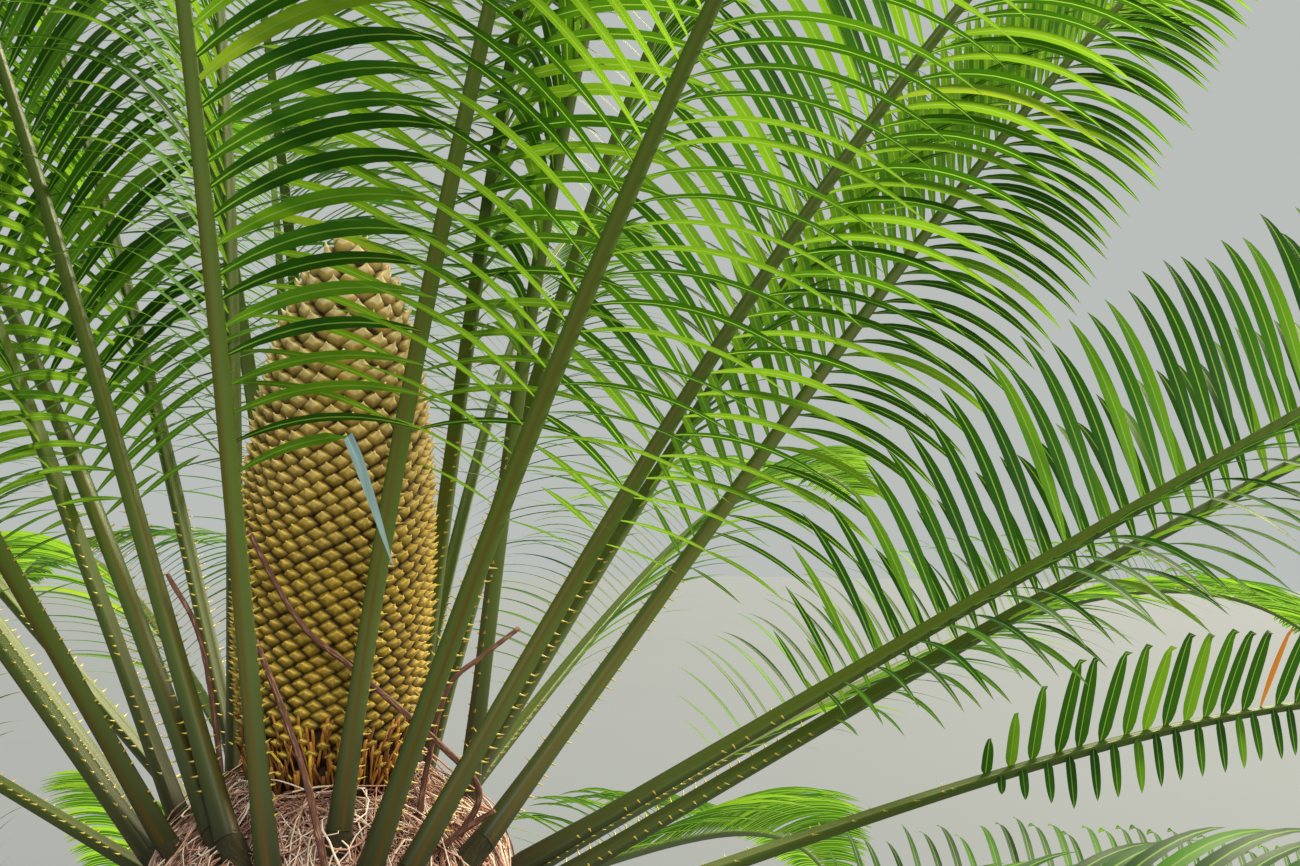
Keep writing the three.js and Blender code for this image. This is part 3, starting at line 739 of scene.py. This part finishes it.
SCALE_PAINTED_SHADE = (8.2, 14.6)    # between these distances along a scale its painted shade, dark where it comes out between its neighbours, gives way to its own colour
SCALE_MOTTLE = 5
RIPE_BETWEEN = (1350, 1600)   # heights above the ground between which the scales turn paler
CLOSED_FROM = 0.15            # below this share of the cone, the scales stand apart
APART_FROM = 0.07
APART_KEPT = 0.6              # the share of the lowest scales that are still there
STEM_COUNT = 400
STEM_CORNERS = 6
CONE_SIDES = 64
CONE_ROWS = 60
cone_draw = np.random.default_rng(47)


def cone_middle(share):
    """The cone's axis at a share of its height."""
    share = np.asarray(share, float)
    flat = np.zeros_like(share)
    return HEART + np.stack([CONE_STAND + CONE_LEAN * share, flat, CONE_SEAT + CONE_HEIGHT * share], -1)


def cone_radius(share):
    """The cone's radius under its scales' points."""
    share = np.asarray(share, float)
    rise = np.sin(np.pi / 2 * np.clip(share / CONE_WIDEST, 0, 1))
    low = CONE_FOOT_RADIUS + (CONE_RADIUS - CONE_FOOT_RADIUS) * rise
    towards_tip = np.clip((share - CONE_WIDEST) / (1 - CONE_WIDEST), 0, 1)
    high = CONE_RADIUS * np.sqrt(np.maximum(1 - towards_tip ** 1.8, 0.02))
    return np.where(share < CONE_WIDEST, low, high)


def scale_area(share):
    """How much of the cone's surface one scale takes."""
    return SCALE_AREA + (TOP_SCALE_AREA - SCALE_AREA) * float(smooth_step(share, 0.5, 1))


def scale_loft():
    """The scales, square to the cone's surface, so that the last ones close over its tip."""
    shares, angles = spiral(CONE_HEIGHT, lambda share: float(cone_radius(share)), scale_area)
    still_there = cone_draw.random(len(shares)) < APART_KEPT
    kept = (shares > CLOSED_FROM) | ((shares > APART_FROM) & still_there)
    shares, angles = shares[kept], angles[kept]
    side, up, out = round_the_stem(angles)
    slope = (cone_radius(np.minimum(shares + 0.01, 1)) - cone_radius(shares - 0.01)) / (0.02 * CONE_HEIGHT)
    slope = np.clip(slope, -2.2, 0.3)[:, None]
    upward = unit(up + out * slope)
    normal = unit(out - up * slope)
    places = cone_middle(shares) + out * (cone_radius(shares) - SCALE_SUNK)[:, None]
    for direction in (upward, side):
        places += direction * cone_draw.normal(0, SCALE_JITTER, len(shares))[:, None]
    size = np.sqrt(np.array([scale_area(share) for share in shares]) / SCALE_AREA)
    size *= 0.68 + 0.32 * smooth_step(shares, APART_FROM, CLOSED_FROM + 0.04)
    wide = SCALE_HALF_WIDTH * size * cone_draw.normal(1, SCALE_SPREAD, len(shares))
    high = SCALE_HALF_HEIGHT * size * cone_draw.normal(1, SCALE_SPREAD, len(shares))
    open_up = 1 + 0.3 * smooth_step(shares, 0.45, 0.95)
    lift = cone_draw.uniform(0.88, 1.12, len(shares)) * open_up
    # A scale's rings from its sunken root to its point, which turns up
    rings = [
        (1.30 * wide, 1.40 * high, -6, -0.6, 1.6),
        (1.16 * wide, 1.18 * high, 0.8, 0, 1.5),
        (0.95 * wide, 0.84 * high, 3.0 * lift, 0.9, 1.3),
        (0.66 * wide, 0.50 * high, 5.2 * lift, 1.9 * lift, 1.0),
        (0.34 * wide, 0.26 * high, 7.0 * lift, 3.0 * lift, 0.75),
        (0.15 * wide, 0.15 * high, 8.6 * lift, 4.2 * lift, 0.7),
    ]
    sections = rings_on(places, side, upward, normal, rings, SCALE_CORNERS)
    sections += cone_draw.normal(0, SCALE_UNEVEN, sections.shape)
    points = places + normal * (10.0 * lift)[:, None] + upward * (5.4 * lift)[:, None]
    # The sunken root ring takes the dark core material, painted shade between the scales
    return loft(sections, tips=points, finish=np.array([3, 0, 0, 1, 1])[None, :, None])


def stem_loft():
    """The narrow stems of the lowest scales, which stand apart all round the cone's foot."""
    angles = np.arange(STEM_COUNT) * GOLDEN_ANGLE + cone_draw.normal(0, 0.03, STEM_COUNT)
    side, _, out = round_the_stem(angles)
    low = cone_draw.uniform(0.0, 0.10, STEM_COUNT)
    length = cone_draw.uniform(26, 46, STEM_COUNT)
    tilt = cone_draw.normal(0, 0.24, STEM_COUNT)
    steps = np.array([0, 0.2, 0.5, 0.8, 1.0])
    share = low[:, None] + length[:, None] * steps / CONE_HEIGHT
    radius = cone_radius(share) - 6 + np.array([0, 3, 4.5, 6, 8])
    middles = cone_middle(share) + out[:, None] * radius[..., None]
    middles += side[:, None] * (tilt[:, None] * length[:, None] * steps)[..., None]
    outline = rounded_rhombus(STEM_CORNERS, 1.6)
    stout = cone_draw.uniform(0.35, 0.75, STEM_COUNT)[:, None, None, None]
    wide = stout * np.array([1.8, 2.2, 1.6, 2.8, 2.0])[None, :, None, None]
    deep = stout * np.array([2.0, 2.2, 1.6, 2.2, 1.2])[None, :, None, None]
    ring = side[:, None, None] * outline[:, :1] * wide + out[:, None, None] * outline[:, 1:] * deep
    colour = cone_draw.choice([0, 2, 4], STEM_COUNT, p=[0.04, 0.5, 0.46])[:, None, None]
    return loft(middles[:, :, None] + ring, middles[:, 0], middles[:, -1], finish=colour)


def woody_scale(name, hollow_shade, low_dark, low_light, high_dark, high_light):
    """Waxy cone-scale wood, rubbed and dusty with pollen: dull, mottled finely, with painted shade that
    darkens it where a scale comes out between its neighbours, and paler towards the cone's top, where the
    scales have dried more."""
    material = new_material(name)
    place = add_node(material, "TexCoord").outputs["Object"]
    height = add_node(material, "SeparateXYZ", links={0: place}).outputs["Z"]
    ripeness = add_node(material, "MapRange", {
        "From Min": RIPE_BETWEEN[0] * METRE,
        "From Max": RIPE_BETWEEN[1] * METRE,
    }, {"Value": height})
    mottle = add_node(material, "TexNoise", {"Scale": 1 / (SCALE_MOTTLE * METRE), "Detail": 4.0},
                      {"Vector": place})
    low, high = (add_node(material, "Mix", {"A": linear(dark), "B": linear(light)}, {"Factor": mottle},
                          data_type="RGBA")
                 for dark, light in ((low_dark, low_light), (high_dark, high_light)))
    face = add_node(material, "Mix", links={"Factor": ripeness, "A": low, "B": high}, data_type="RGBA")
    grain = add_node(material, "Attribute", attribute_name="grain").outputs["Vector"]
    along = add_node(material, "SeparateXYZ", links={0: grain}).outputs["Z"]
    # Painted shade: each scale is drawn dark where it comes out between its neighbours and takes its own
    # colour further along
    out_of_painted_shade = add_node(material, "MapRange",
                             {"From Min": SCALE_PAINTED_SHADE[0], "From Max": SCALE_PAINTED_SHADE[1]}, {"Value": along})
    colour = add_node(material, "Mix", {"A": linear(hollow_shade)}, {"Factor": out_of_painted_shade, "B": face},
                      data_type="RGBA")
    bump = add_node(material, "Bump", {"Strength": 0.35, "Distance": 0.0006}, {"Height": mottle})
    surface = add_node(material, "BsdfPrincipled", {"Roughness": 0.62, "IOR": 1.45},
                       {"Base Color": colour, "Normal": bump})
    add_node(material, "OutputMaterial", links={"Surface": surface})
    return material


# The core shows only in the gaps between the scales, and its dark colours are painted shade there
cone_shares = np.linspace(0, 1, CONE_ROWS)
cone_core_radii = (cone_radius(cone_shares) - SCALE_SUNK - CONE_CORE_SUNK)[:, None]
cone_core = loft(turned_sections(cone_middle(cone_shares), cone_core_radii, CONE_SIDES),
                 cone_middle([0.0]), cone_middle([1.0]), finish=3)
cone = mesh_object("pollen_cone_scales", [scale_loft(), stem_loft(), cone_core], [
    woody_scale("cone_scale", "#3c2b04", "#b8931e", "#f0cc46", "#c69e3c", "#f0d280"),
    # The points' pale colour is partly their own dry tone and partly a painted highlight
    woody_scale("cone_scale_point_and_highlight", "#5c4310", "#dcb23c", "#f6d66c", "#ecca86", "#fce8bc"),
    woody_scale("cone_scale_stem", "#4a220c", "#8f4f12", "#c88e34", "#8f4f12", "#c88e34"),
    woody_scale("cone_core", "#2a1c08", "#2a1c08", "#3f2e0e", "#4a3614", "#5f4820"),
    woody_scale("cone_scale_dark_stem", "#3a1c0a", "#5a3010", "#925c24", "#5a3010", "#925c24"),
])
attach(cone, "root")
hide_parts("pollen_cone")

# Dry stalks
# Withered stalks of shed growth that lean among the living ones: thin, brown and ridged along their
# length, paler where the skin has split and with a painted highlight along their fibres, one of them cut off
# short.

# Each is the points that its line runs through, from the heart, and its radius
DRY_STALKS = [
    ([(112, -48, -32), (134, -66, 14), (104, -84, 57), (36, -86, 117), (-8, -93, 158), (-50, -88, 230)], 2.6),
    ([(31, -157, -46), (25, -151, -20), (3, -135, 55), (-36, -118, 146)], 2.8),
    ([(-74, -70, -34), (-78, -70, 41), (-94, -70, 140), (-123, -64, 193)], 2.4),
    ([(98, -76, -34), (125, -90, -10), (150, -104, 8)], 2.7),
    ([(80, -60, -36), (90, -64, 30), (108, -68, 99), (138, -56, 126), (164, -38, 145)], 2.4),
]
STALK_SIDES = 10
STALK_STEP = 5.0
STALK_TUCK = 3.2              # how many steps its base is carried down into the wool
RIDGE = 0.10                  # how far the ridges stand out, as a share of the radius
stalk_draw = np.random.default_rng(59)


def smooth_route(points):
    """A smooth line through the points, in short steps."""
    points = np.array(points, float)
    padded = np.concatenate([[2 * points[0] - points[1]], points, [2 * points[-1] - points[-2]]])
    route = []
    for a, b, c, d in zip(padded, padded[1:], padded[2:], padded[3:]):
        steps = max(3, round(np.linalg.norm(c - b) / STALK_STEP))
        t = (np.arange(steps) / steps)[:, None]
        route.append(b + 0.5 * t * ((c - a) + t * (2 * a - 5 * b + 4 * c - d + t * (3 * (b - c) + d - a))))
    return np.concatenate([*route, points[-1:]])


def stalk_loft(points, radius):
    """One dry stalk, ridged and a little knotty."""
    route = smooth_route(points) + HEART
    route = np.concatenate([[route[0] - STALK_TUCK * (route[1] - route[0])], route])
    along = unit(np.gradient(route, axis=0))
    across = unit(np.cross(along, [0, 1, 0.1]))
    ridge = 1 + RIDGE * np.cos(even_angles(STALK_SIDES) * STALK_SIDES / 2)
    ridge = ridge + stalk_draw.normal(0, 0.03, STALK_SIDES)
    knots = np.interp(np.linspace(0, 1, len(route)), [0, 0.08, 1], [1.5, 1.05, 0.8])
    knots = knots + stalk_draw.normal(0, 0.04, len(route))
    ring = hoops(across, np.cross(across, along), STALK_SIDES) * (radius * knots[:, None] * ridge)[..., None]
    return loft((route[:, None] + ring)[None], route[:1], route[-1:] + along[-1:] * 0.4)


dry_skin = corky_bark("withered_stalk_skin", "#4b2c20", "#7d5340", "#b98f76")
for number, (points, radius) in enumerate(DRY_STALKS):
    stalk = mesh_object(f"withered_stalk_{number + 1}", [stalk_loft(points, radius)], [dry_skin])
    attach(stalk, "root")
    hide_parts(f"dry_stalk_{number + 1}")

# Leaflets
# Flat leathery blades in two rows on each rib, narrow at the foot and drawn out to a point, folded a
# little along a pale midrib. They rise from the rib, arch over and glow where light comes through.
LEAFLET_PAIRS = 84
CROWDING = 0.35               # how much closer the pairs stand towards the tip
PAIR_OFFSET = 0.35            # how far one row is ahead of the other, as a share of the mean spacing
SCATTER = {"place": 0.0012, "length": 0.025, "tilt": 2.2, "twist": 5}   # of each leaflet, about the rule
BLADE_END = 0.985
LEAFLET_LENGTH = 235
LEAFLET_SPREAD = 84           # between the lowest leaflets and the rib; the last ones lie 46 closer to it
LEAFLET_KEEL = 30             # how far the lowest rise out of the frond's plane, and the last 12 less
LEAFLET_SAG = 0.22
LEAFLET_ARCH = 1.1            # how much a leaflet arches over its length
LEAFLET_WIDTH = 12.0
WIDEST_AT = 0.42
FOOT_SHARE = 0.24             # of the full width, at the foot
FOLD = 0.16                   # how far the edges stand up beside the midrib
MIDRIB_WIDTH = 1.1
MIDRIB_LIFT = 0.2             # how far it stands over the blade's lowest line
LOW_TWIST = 26                # how far the blades of a low frond are turned out of the frond's plane,
HIGH_TWIST = 66               # and those of an upright one
LEAFLET_STATIONS = 12
LEAFLET_STREAK = (1.6, 70)    # width and length of its faint streaks, coarser than the real ones
CLEARANCE = 3.0               # room that a leaflet leaves beside another frond's rib,
CONE_CLEARANCE = 9            # beside the cone,
NEST_CLEARANCE = 8            # and over the nest
FEWER_PAIRS = {"frond_08": 60}
# Rows unlike the rest: how much more they are lifted, lie closer along the rib and are turned, how
# long and wide they are against the others, and how much lighter green they are drawn, partly for youth and
# partly as painted light
ODD_ROWS = {
    ("frond_01", 1): (0, 0, -30, 1, 1.3, -0.35),
    ("frond_01", -1): (-30, 32, 0, 1, 1, 0.2),
    ("frond_02", 1): (0, 10, -20, 1, 1, -0.1),
    ("frond_02", -1): (-50, 9, -16, 0.85, 1.25, 0.6),
    ("frond_03", 1): (0, 0, 0, 1, 1, 0.2),
    ("frond_03", -1): (-35, 10, -16, 1, 1, 0.4),
    ("frond_04", 1): (0, 15, 14, 1, 1, 0),
    ("frond_04", -1): (-40, 14, -56, 1, 1.1, -0.1),
    ("frond_05", 1): (0, 15, 14, 1, 1, 0),
    ("frond_05", -1): (-40, 28, -56, 1, 1.1, 0.8),
    ("frond_06", 1): (0, 0, -22, 1, 1.1, 0),
    ("frond_07", 1): (0, 0, -22, 0.8, 1.2, 0.2),
    ("frond_07", -1): (0, 0, 0, 1, 1, 0.6),
    ("frond_08", 1): (60, 0, -26, 0.48, 2.3, 0.2),
    ("frond_08", -1): (-100, -30, -26, 0.25, 1.9, 0),
    ("frond_10", 1): (-30, 28, -36, 1, 1.1, -0.1),
    ("frond_10", -1): (0, 25, -20, 1, 1, 0.6),
    ("frond_11", 1): (-30, 28, -36, 1, 1.1, 0),
    ("frond_11", -1): (0, 25, -20, 1, 1, 0.3),
}
AS_THE_REST = (0, 0, 0, 1, 1, 0)
STRAP_HOOK = 0.7              # how sharply the tip of a strap-like leaflet hooks over
FIRST_PAIR = 0.4              # the lowest pair has this share of its length, each next one PAIR_GAIN more
PAIR_GAIN = 0.2
LONG_FROM_START = ("frond_01", "frond_02")   # on these the lowest pairs have their full length
SLIM_SHARE = 0.62             # the lowest leaflets are this share of the width of those beyond SLIM_TO
SLIM_TO = 0.12
FOLDED_FROND = "frond_01"     # its first leaflet is folded over at FOLD_AT, hangs and shows its back
FOLD_AT = 0.47
NO_FOLD = 9.0                 # past the tip, so that a leaflet isn't folded
FOLDED_LONGER = 1.25          # it is this many times as long,
FOLDED_TILT = -18             # and tilted by this
YELLOW_SHARE = 0.015          # of the younger leaflets
DEAD_CHANCE = 0.002
DEAD_SHARE = 0.5              # dead leaflets have shrivelled to this share of their length
DEAD_WIDTH_SHARE = 0.45       # and to this share of their width
WITHERED_FROND = "frond_08"   # on its upper side one dead leaflet still has its full length
WITHERED_AT = 0.39
# How a leaflet in something's way is cut shorter and tilted, until it is clear
TRIES = [(1, 0), (1, 10), (1, -10), (1, 20), (1, -20), (0.82, 0), (0.82, 14), (0.64, 0), (0.46, 0)]
DEEP, MIDDLE, LIGHT, YELLOW, DEAD, WAXY_AND_SHEEN, MIDRIB = range(7)
leaflet_draw = np.random.default_rng(71)

rib_tree = kdtree.KDTree(len(fronds) * (LINE_STEPS + 1))
for number, frond in enumerate(fronds):
    for step, point in enumerate(frond["line"]):
        rib_tree.insert(Vector(point), number * (LINE_STEPS + 1) + step)
rib_tree.balance()


def blade_share(share):
    """How far along its leafy part a share of a frond's length lies."""
    return (share - PETIOLE_SHARE) / (1 - PETIOLE_SHARE)


def row_habits(frond, side):
    """How the leaflets on each side differ from the rule, as in ODD_ROWS."""
    return np.array([ODD_ROWS.get((frond["node"], row), AS_THE_REST) for row in side]).T


def strap_like(wider):
    """How far the leaflets of a row are straps, of one width up to a blunt tip that hooks over: those
    of rows about twice as wide as the rest are."""
    return smooth_step(np.asarray(wider, float), 1.5, 2)


def leaflet_lines(frond, share, side, tilt, length, fold_at):
    """Middle lines of leaflets, their directions, and the frond's frame at their roots."""
    along, left, up = frond_frame(frond, share)
    blade = blade_share(share)
    lifted, closer, _, _, wider, _ = row_habits(frond, side)
    spread = np.radians(LEAFLET_SPREAD - 40 * blade ** 0.7 - 6 * blade ** 3 - closer)[:, None]
    keel = np.radians(LEAFLET_KEEL - 12 * blade + tilt + lifted)[:, None]
    outward = left * side[:, None] * np.cos(keel) + up * np.sin(keel)
    straight = along * np.cos(spread) + outward * np.sin(spread)
    level = np.linalg.norm(straight[:, :2], axis=1)[:, None]
    middle = (np.arange(LEAFLET_STATIONS) + 0.5) / LEAFLET_STATIONS
    arch = LEAFLET_ARCH * (length / LEAFLET_LENGTH)[:, None] * (0.35 + 0.65 * level)
    pull = -LEAFLET_SAG + arch * (0.5 - middle)
    pull = pull - 2.2 * smooth_step(middle - fold_at[:, None], 0, 0.1)
    pull = pull - STRAP_HOOK * strap_like(wider)[:, None] * smooth_step(middle, 0.8, 1)
    direction = unit(straight[:, None] + pull[..., None] * np.array([0, 0, 1]))
    width = rib_width(share)
    root = rib_point(frond, share) + left * (side * (width / 2 - 1))[:, None]
    root += up * (width * DEPTH_TO_WIDTH / 2 - EDGE_HEIGHT / 2)[:, None]
    strides = direction * (length / LEAFLET_STATIONS)[:, None, None]
    points = np.concatenate([root[:, None], root[:, None] + strides.cumsum(1)], 1)
    direction = np.concatenate([direction[:, :1], (direction[:, 1:] + direction[:, :-1]) / 2,
                                direction[:, -1:]], 1)
    return points, unit(direction), along, up


def blocked(points, owner):
    """Which leaflets would run into the cone, the nest or another frond's rib."""
    inner = points[:, 2:]
    above = inner - HEART
    height = (above[..., 2] - CONE_SEAT) / CONE_HEIGHT
    beside = np.clip(height, 0, 1)
    off_axis = np.linalg.norm((inner - cone_middle(beside))[..., :2], axis=-1)
    in_cone = (height > -0.05) & (height < 1.03) & (off_axis < cone_radius(beside) + CONE_CLEARANCE)
    off_heart = np.linalg.norm(above[..., :2], axis=-1)
    in_nest = (off_heart < MOUND_EDGE) & (above[..., 2] < nest_height(off_heart) + NEST_CLEARANCE)
    in_nest &= above[..., 2] > -200
    hit = (in_cone | in_nest).any(1)
    for number in np.flatnonzero(~hit):
        for point in inner[number]:
            _, near, distance = rib_tree.find(Vector(point))
            other, step = divmod(near, LINE_STEPS + 1)
            if other != owner and distance < rib_width(step / LINE_STEPS) / 2 + CLEARANCE:
                hit[number] = True
                break
    return hit


def grown_leaflets(frond, owner):
    """The leaflets of one frond that have room, with what each has grown to."""
    pairs = FEWER_PAIRS.get(frond["node"], LEAFLET_PAIRS)
    place = np.linspace(0.004, 1, pairs)
    place = place * (1 + CROWDING - CROWDING * place)
    place = np.concatenate([place, place + PAIR_OFFSET / pairs])
    place = place + leaflet_draw.normal(0, SCATTER["place"], len(place))
    share = PETIOLE_SHARE + (BLADE_END - PETIOLE_SHARE) * np.clip(place, 0.001, 1)
    side = np.repeat([1.0, -1.0], pairs)
    full = LEAFLET_LENGTH * (0.28 + 0.72 * np.sin(math.pi * np.maximum(blade_share(share), 0.08) ** 0.62))
    full = full * row_habits(frond, side)[3] * leaflet_draw.normal(1, SCATTER["length"], len(share))
    wobble = leaflet_draw.normal(0, SCATTER["tilt"], len(share))
    fold_at = np.full(len(share), NO_FOLD)
    there = share > LONG_STALKS.get(frond["node"], 0)
    if frond["node"] == FOLDED_FROND:
        fold_at[0] = FOLD_AT
        full[0] *= FOLDED_LONGER
        wobble[0] = FOLDED_TILT
    if frond["node"] not in LONG_FROM_START:
        number = np.cumsum(there[:pairs]) - 1
        full *= np.tile(np.clip(FIRST_PAIR + PAIR_GAIN * number, 0, 1), 2)
    length, tilt, waiting = full.copy(), wobble.copy(), there.copy()
    for cut, turn in TRIES:
        tried = np.flatnonzero(waiting)
        if len(tried) == 0:
            break
        length[tried] = full[tried] * cut
        tilt[tried] = wobble[tried] + turn
        points = leaflet_lines(frond, share[tried], side[tried], tilt[tried], length[tried],
                               fold_at[tried])[0]
        waiting[tried[~blocked(points, owner)]] = False
    grown = there & ~waiting
    return share[grown], side[grown], tilt[grown], length[grown], fold_at[grown]


def leaflet_colours(frond, blade, youth_and_painted_light):
    """A base colour for each leaflet: most are deep green, the youngest and lowest yellower, and some whole
    rows lighter, partly for youth and partly as painted light.
    """
    youth = 0.10 + 0.35 * smooth_step(frond["rise"], 60, 100) + leaflet_draw.uniform(-0.05, 0.1)
    youth = youth + 0.45 * (1 - smooth_step(blade, 0.03, 0.12)) + youth_and_painted_light
    draw = leaflet_draw.random(len(blade))
    colour = np.full(len(blade), DEEP)
    for limit, finish in ((0.45 + 0.4 * youth, MIDDLE), (youth, LIGHT), (YELLOW_SHARE * youth, YELLOW)):
        colour[draw < limit] = finish
    colour[leaflet_draw.random(len(blade)) < DEAD_CHANCE] = DEAD
    return colour


def leaflet_outline(run, strap):
    """The width of leaflets along their run, as a share of the full width."""
    widest = WIDEST_AT - 0.24 * strap
    low = FOOT_SHARE + (1 - FOOT_SHARE) * np.sin(np.pi / 2 * np.clip(run / widest, 0, 1)) ** 0.8
    high = (1 - np.clip((run - widest) / (1 - widest), 0, 1) ** (2.2 + 1.6 * strap)) ** 0.9
    return np.where(run < widest, low, high)


def leaflet_loft(frond, owner):
    """All the leaflets of one frond."""
    share, side, tilt, length, fold_at = grown_leaflets(frond, owner)
    blade = blade_share(share)
    _, _, turned, _, wider, youth_and_painted_light = row_habits(frond, side)
    colour = leaflet_colours(frond, blade, youth_and_painted_light)
    length = np.where(colour == DEAD, DEAD_SHARE * length, length)
    if frond["node"] == WITHERED_FROND:
        colour[np.argmin(np.abs(blade - WITHERED_AT) + (side < 0))] = DEAD
    wider = np.where(colour == DEAD, DEAD_WIDTH_SHARE * wider, wider)
    points, direction, along, up = leaflet_lines(frond, share, side, tilt, length, fold_at)
    twist = LOW_TWIST + (HIGH_TWIST - LOW_TWIST) * smooth_step(frond["rise"], 25, 75)
    twist = np.radians(twist + turned + leaflet_draw.normal(0, SCATTER["twist"], len(share)))[:, None]
    facing = (along * np.cos(twist) - up * np.sin(twist))[:, None]
    across = unit(facing - direction * (direction * facing).sum(-1, keepdims=True))
    run = np.linspace(0, 1, LEAFLET_STATIONS + 1)
    hanging = (run > fold_at[:, None])[..., None]
    across = np.where(hanging, np.cross(direction, across), across)
    normal = np.cross(across, direction) * side[:, None, None]
    half = LEAFLET_WIDTH / 2 * (0.42 + 0.58 * length / LEAFLET_LENGTH)[:, None]
    half = half * (wider * (SLIM_SHARE + (1 - SLIM_SHARE) * smooth_step(blade, 0, SLIM_TO)))[:, None]
    half = half * leaflet_outline(run[:-1], strap_like(wider)[:, None])
    rib_half = np.minimum(MIDRIB_WIDTH / 2, 0.4 * half)
    reach = np.stack([-half, -rib_half, rib_half, half], -1)[..., None]
    raised = np.full_like(half, MIDRIB_LIFT)
    lift = np.stack([FOLD * half, raised, raised, FOLD * half], -1)[..., None]
    sections = points[:, :-1, None] + across[:, :-1, None] * reach + normal[:, :-1, None] * lift
    finish = np.stack([colour, np.where(colour == DEAD, DEAD, MIDRIB), colour], -1)[:, None]
    # The hanging part takes the waxy back material, whose pale streaks are a painted sheen
    finish = np.where(hanging[:, :-2], WAXY_AND_SHEEN, finish)
    return loft(sections, tips=points[:, -1], closed=False, finish=finish)


def leaflet_blade(name, shade, sun, glow, thin):
    """Tough evergreen leaf, cuticle over green flesh: semi-gloss, faintly streaked along its run,
    and lit up yellow-green by the share of light that comes through from behind where it is thin."""
    material = new_material(name)
    streaks = streaks_along(material, LEAFLET_STREAK, 2.0)
    colour = add_node(material, "Mix", {"A": linear(shade), "B": linear(sun)}, {"Factor": streaks},
                      data_type="RGBA")
    gloss = add_node(material, "MapRange", {"To Min": 0.45, "To Max": 0.62}, {"Value": streaks})
    front = add_node(material, "BsdfPrincipled", {"IOR": 1.45, "Specular IOR Level": 0.18},
                     {"Base Color": colour, "Roughness": gloss})
    through = add_node(material, "BsdfTranslucent", {"Color": linear(glow)})
    surface = add_node(material, "MixShader", {"Fac": thin}, {1: front, 2: through})
    add_node(material, "OutputMaterial", links={"Surface": surface})
    return material


leaf_finishes = [
    leaflet_blade("deep_green_leaflet", "#0b2a05", "#1a4a0a", "#4a8610", 0.28),
    leaflet_blade("mid_green_leaflet", "#123a07", "#245e0e", "#609a14", 0.34),
    leaflet_blade("light_green_leaflet", "#2f620e", "#4a8718", "#88b822", 0.42),
    leaflet_blade("yellow_green_leaflet", "#5a7e1a", "#7ea428", "#a6c42c", 0.42),
    leaflet_blade("dead_leaflet", "#a8541c", "#d8792a", "#e89a40", 0.36),
    # The hanging back is blue-grey with wax, and its pale streaks are a painted sheen
    leaflet_blade("waxy_leaflet_back_and_sheen", "#24424c", "#b8d4d8", "#8cb494", 0.2),
    leaflet_blade("pale_midrib", "#4f7a28", "#86ac44", "#b0d458", 0.36),
]
for number, bunch in enumerate(pieces_of_fronds):
    lofts = [leaflet_loft(frond, number * FRONDS_A_PIECE + place) for place, frond in enumerate(bunch)]
    leaflets = mesh_object(f"frond_leaflets_{number + 1}", lofts, leaf_finishes)
    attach(leaflets, "root")
    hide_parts(*[frond["node"] for frond in bunch])

# Studio
# A wide pale floor and an even pale surround, as bright as each other, and soft lamps: the main one
# far off, high behind the crown, so that the leaflets glow, and weaker ones at its side and in front.
FLOOR_RADII = np.array([[14000], [7000], [1400]])
FLOOR_SIDES = 96
FLOOR_CLOUD = 1667


def far_lamp(name, place, spread, strength, colour):
    """A soft lamp that shines from its place towards the foot of the plant as if from far off, so that
    it lights all places alike. It looks as wide as its spread in degrees."""
    data = bpy.data.lights.new(name, "SUN")
    data.angle = math.radians(spread)
    data.energy = strength
    data.color = linear(colour)[:3]
    lamp = bpy.data.objects.new(name, data)
    lamp.location = place
    lamp.rotation_euler = Vector(place).to_track_quat("Z", "Y").to_euler()
    bpy.context.scene.collection.objects.link(lamp)


# Matt painted floor, cool grey that the warm lamps turn white, with a very faint unevenness
matt_floor = mottled_matter("matt_floor", "#5e646b", "#636970", FLOOR_CLOUD, 2.0, {"Roughness": 0.9})
floor_rings = turned_sections(np.zeros((len(FLOOR_RADII), 3)), FLOOR_RADII, FLOOR_SIDES)
floor = mesh_object("floor", [loft(floor_rings, tips=np.zeros((1, 3)))], [matt_floor])

world = bpy.data.worlds.new("studio")
world.use_nodes = True
surround = world.node_tree.nodes["Background"].inputs
surround["Color"].default_value = linear("#e6ece8")
surround["Strength"].default_value = 0.62
bpy.context.scene.world = world
far_lamp("back_lamp", (5.2, 8.4, 9.3), 16, 6.5, "#fff4d6")
far_lamp("side_lamp", (5.4, 3.2, 2.6), 14, 4.4, "#fff4d6")
far_lamp("front_lamp", (1.6, -3.6, 3.6), 28, 2.3, "#fbfaf2")
bpy.context.scene.view_settings.view_transform = "Standard"
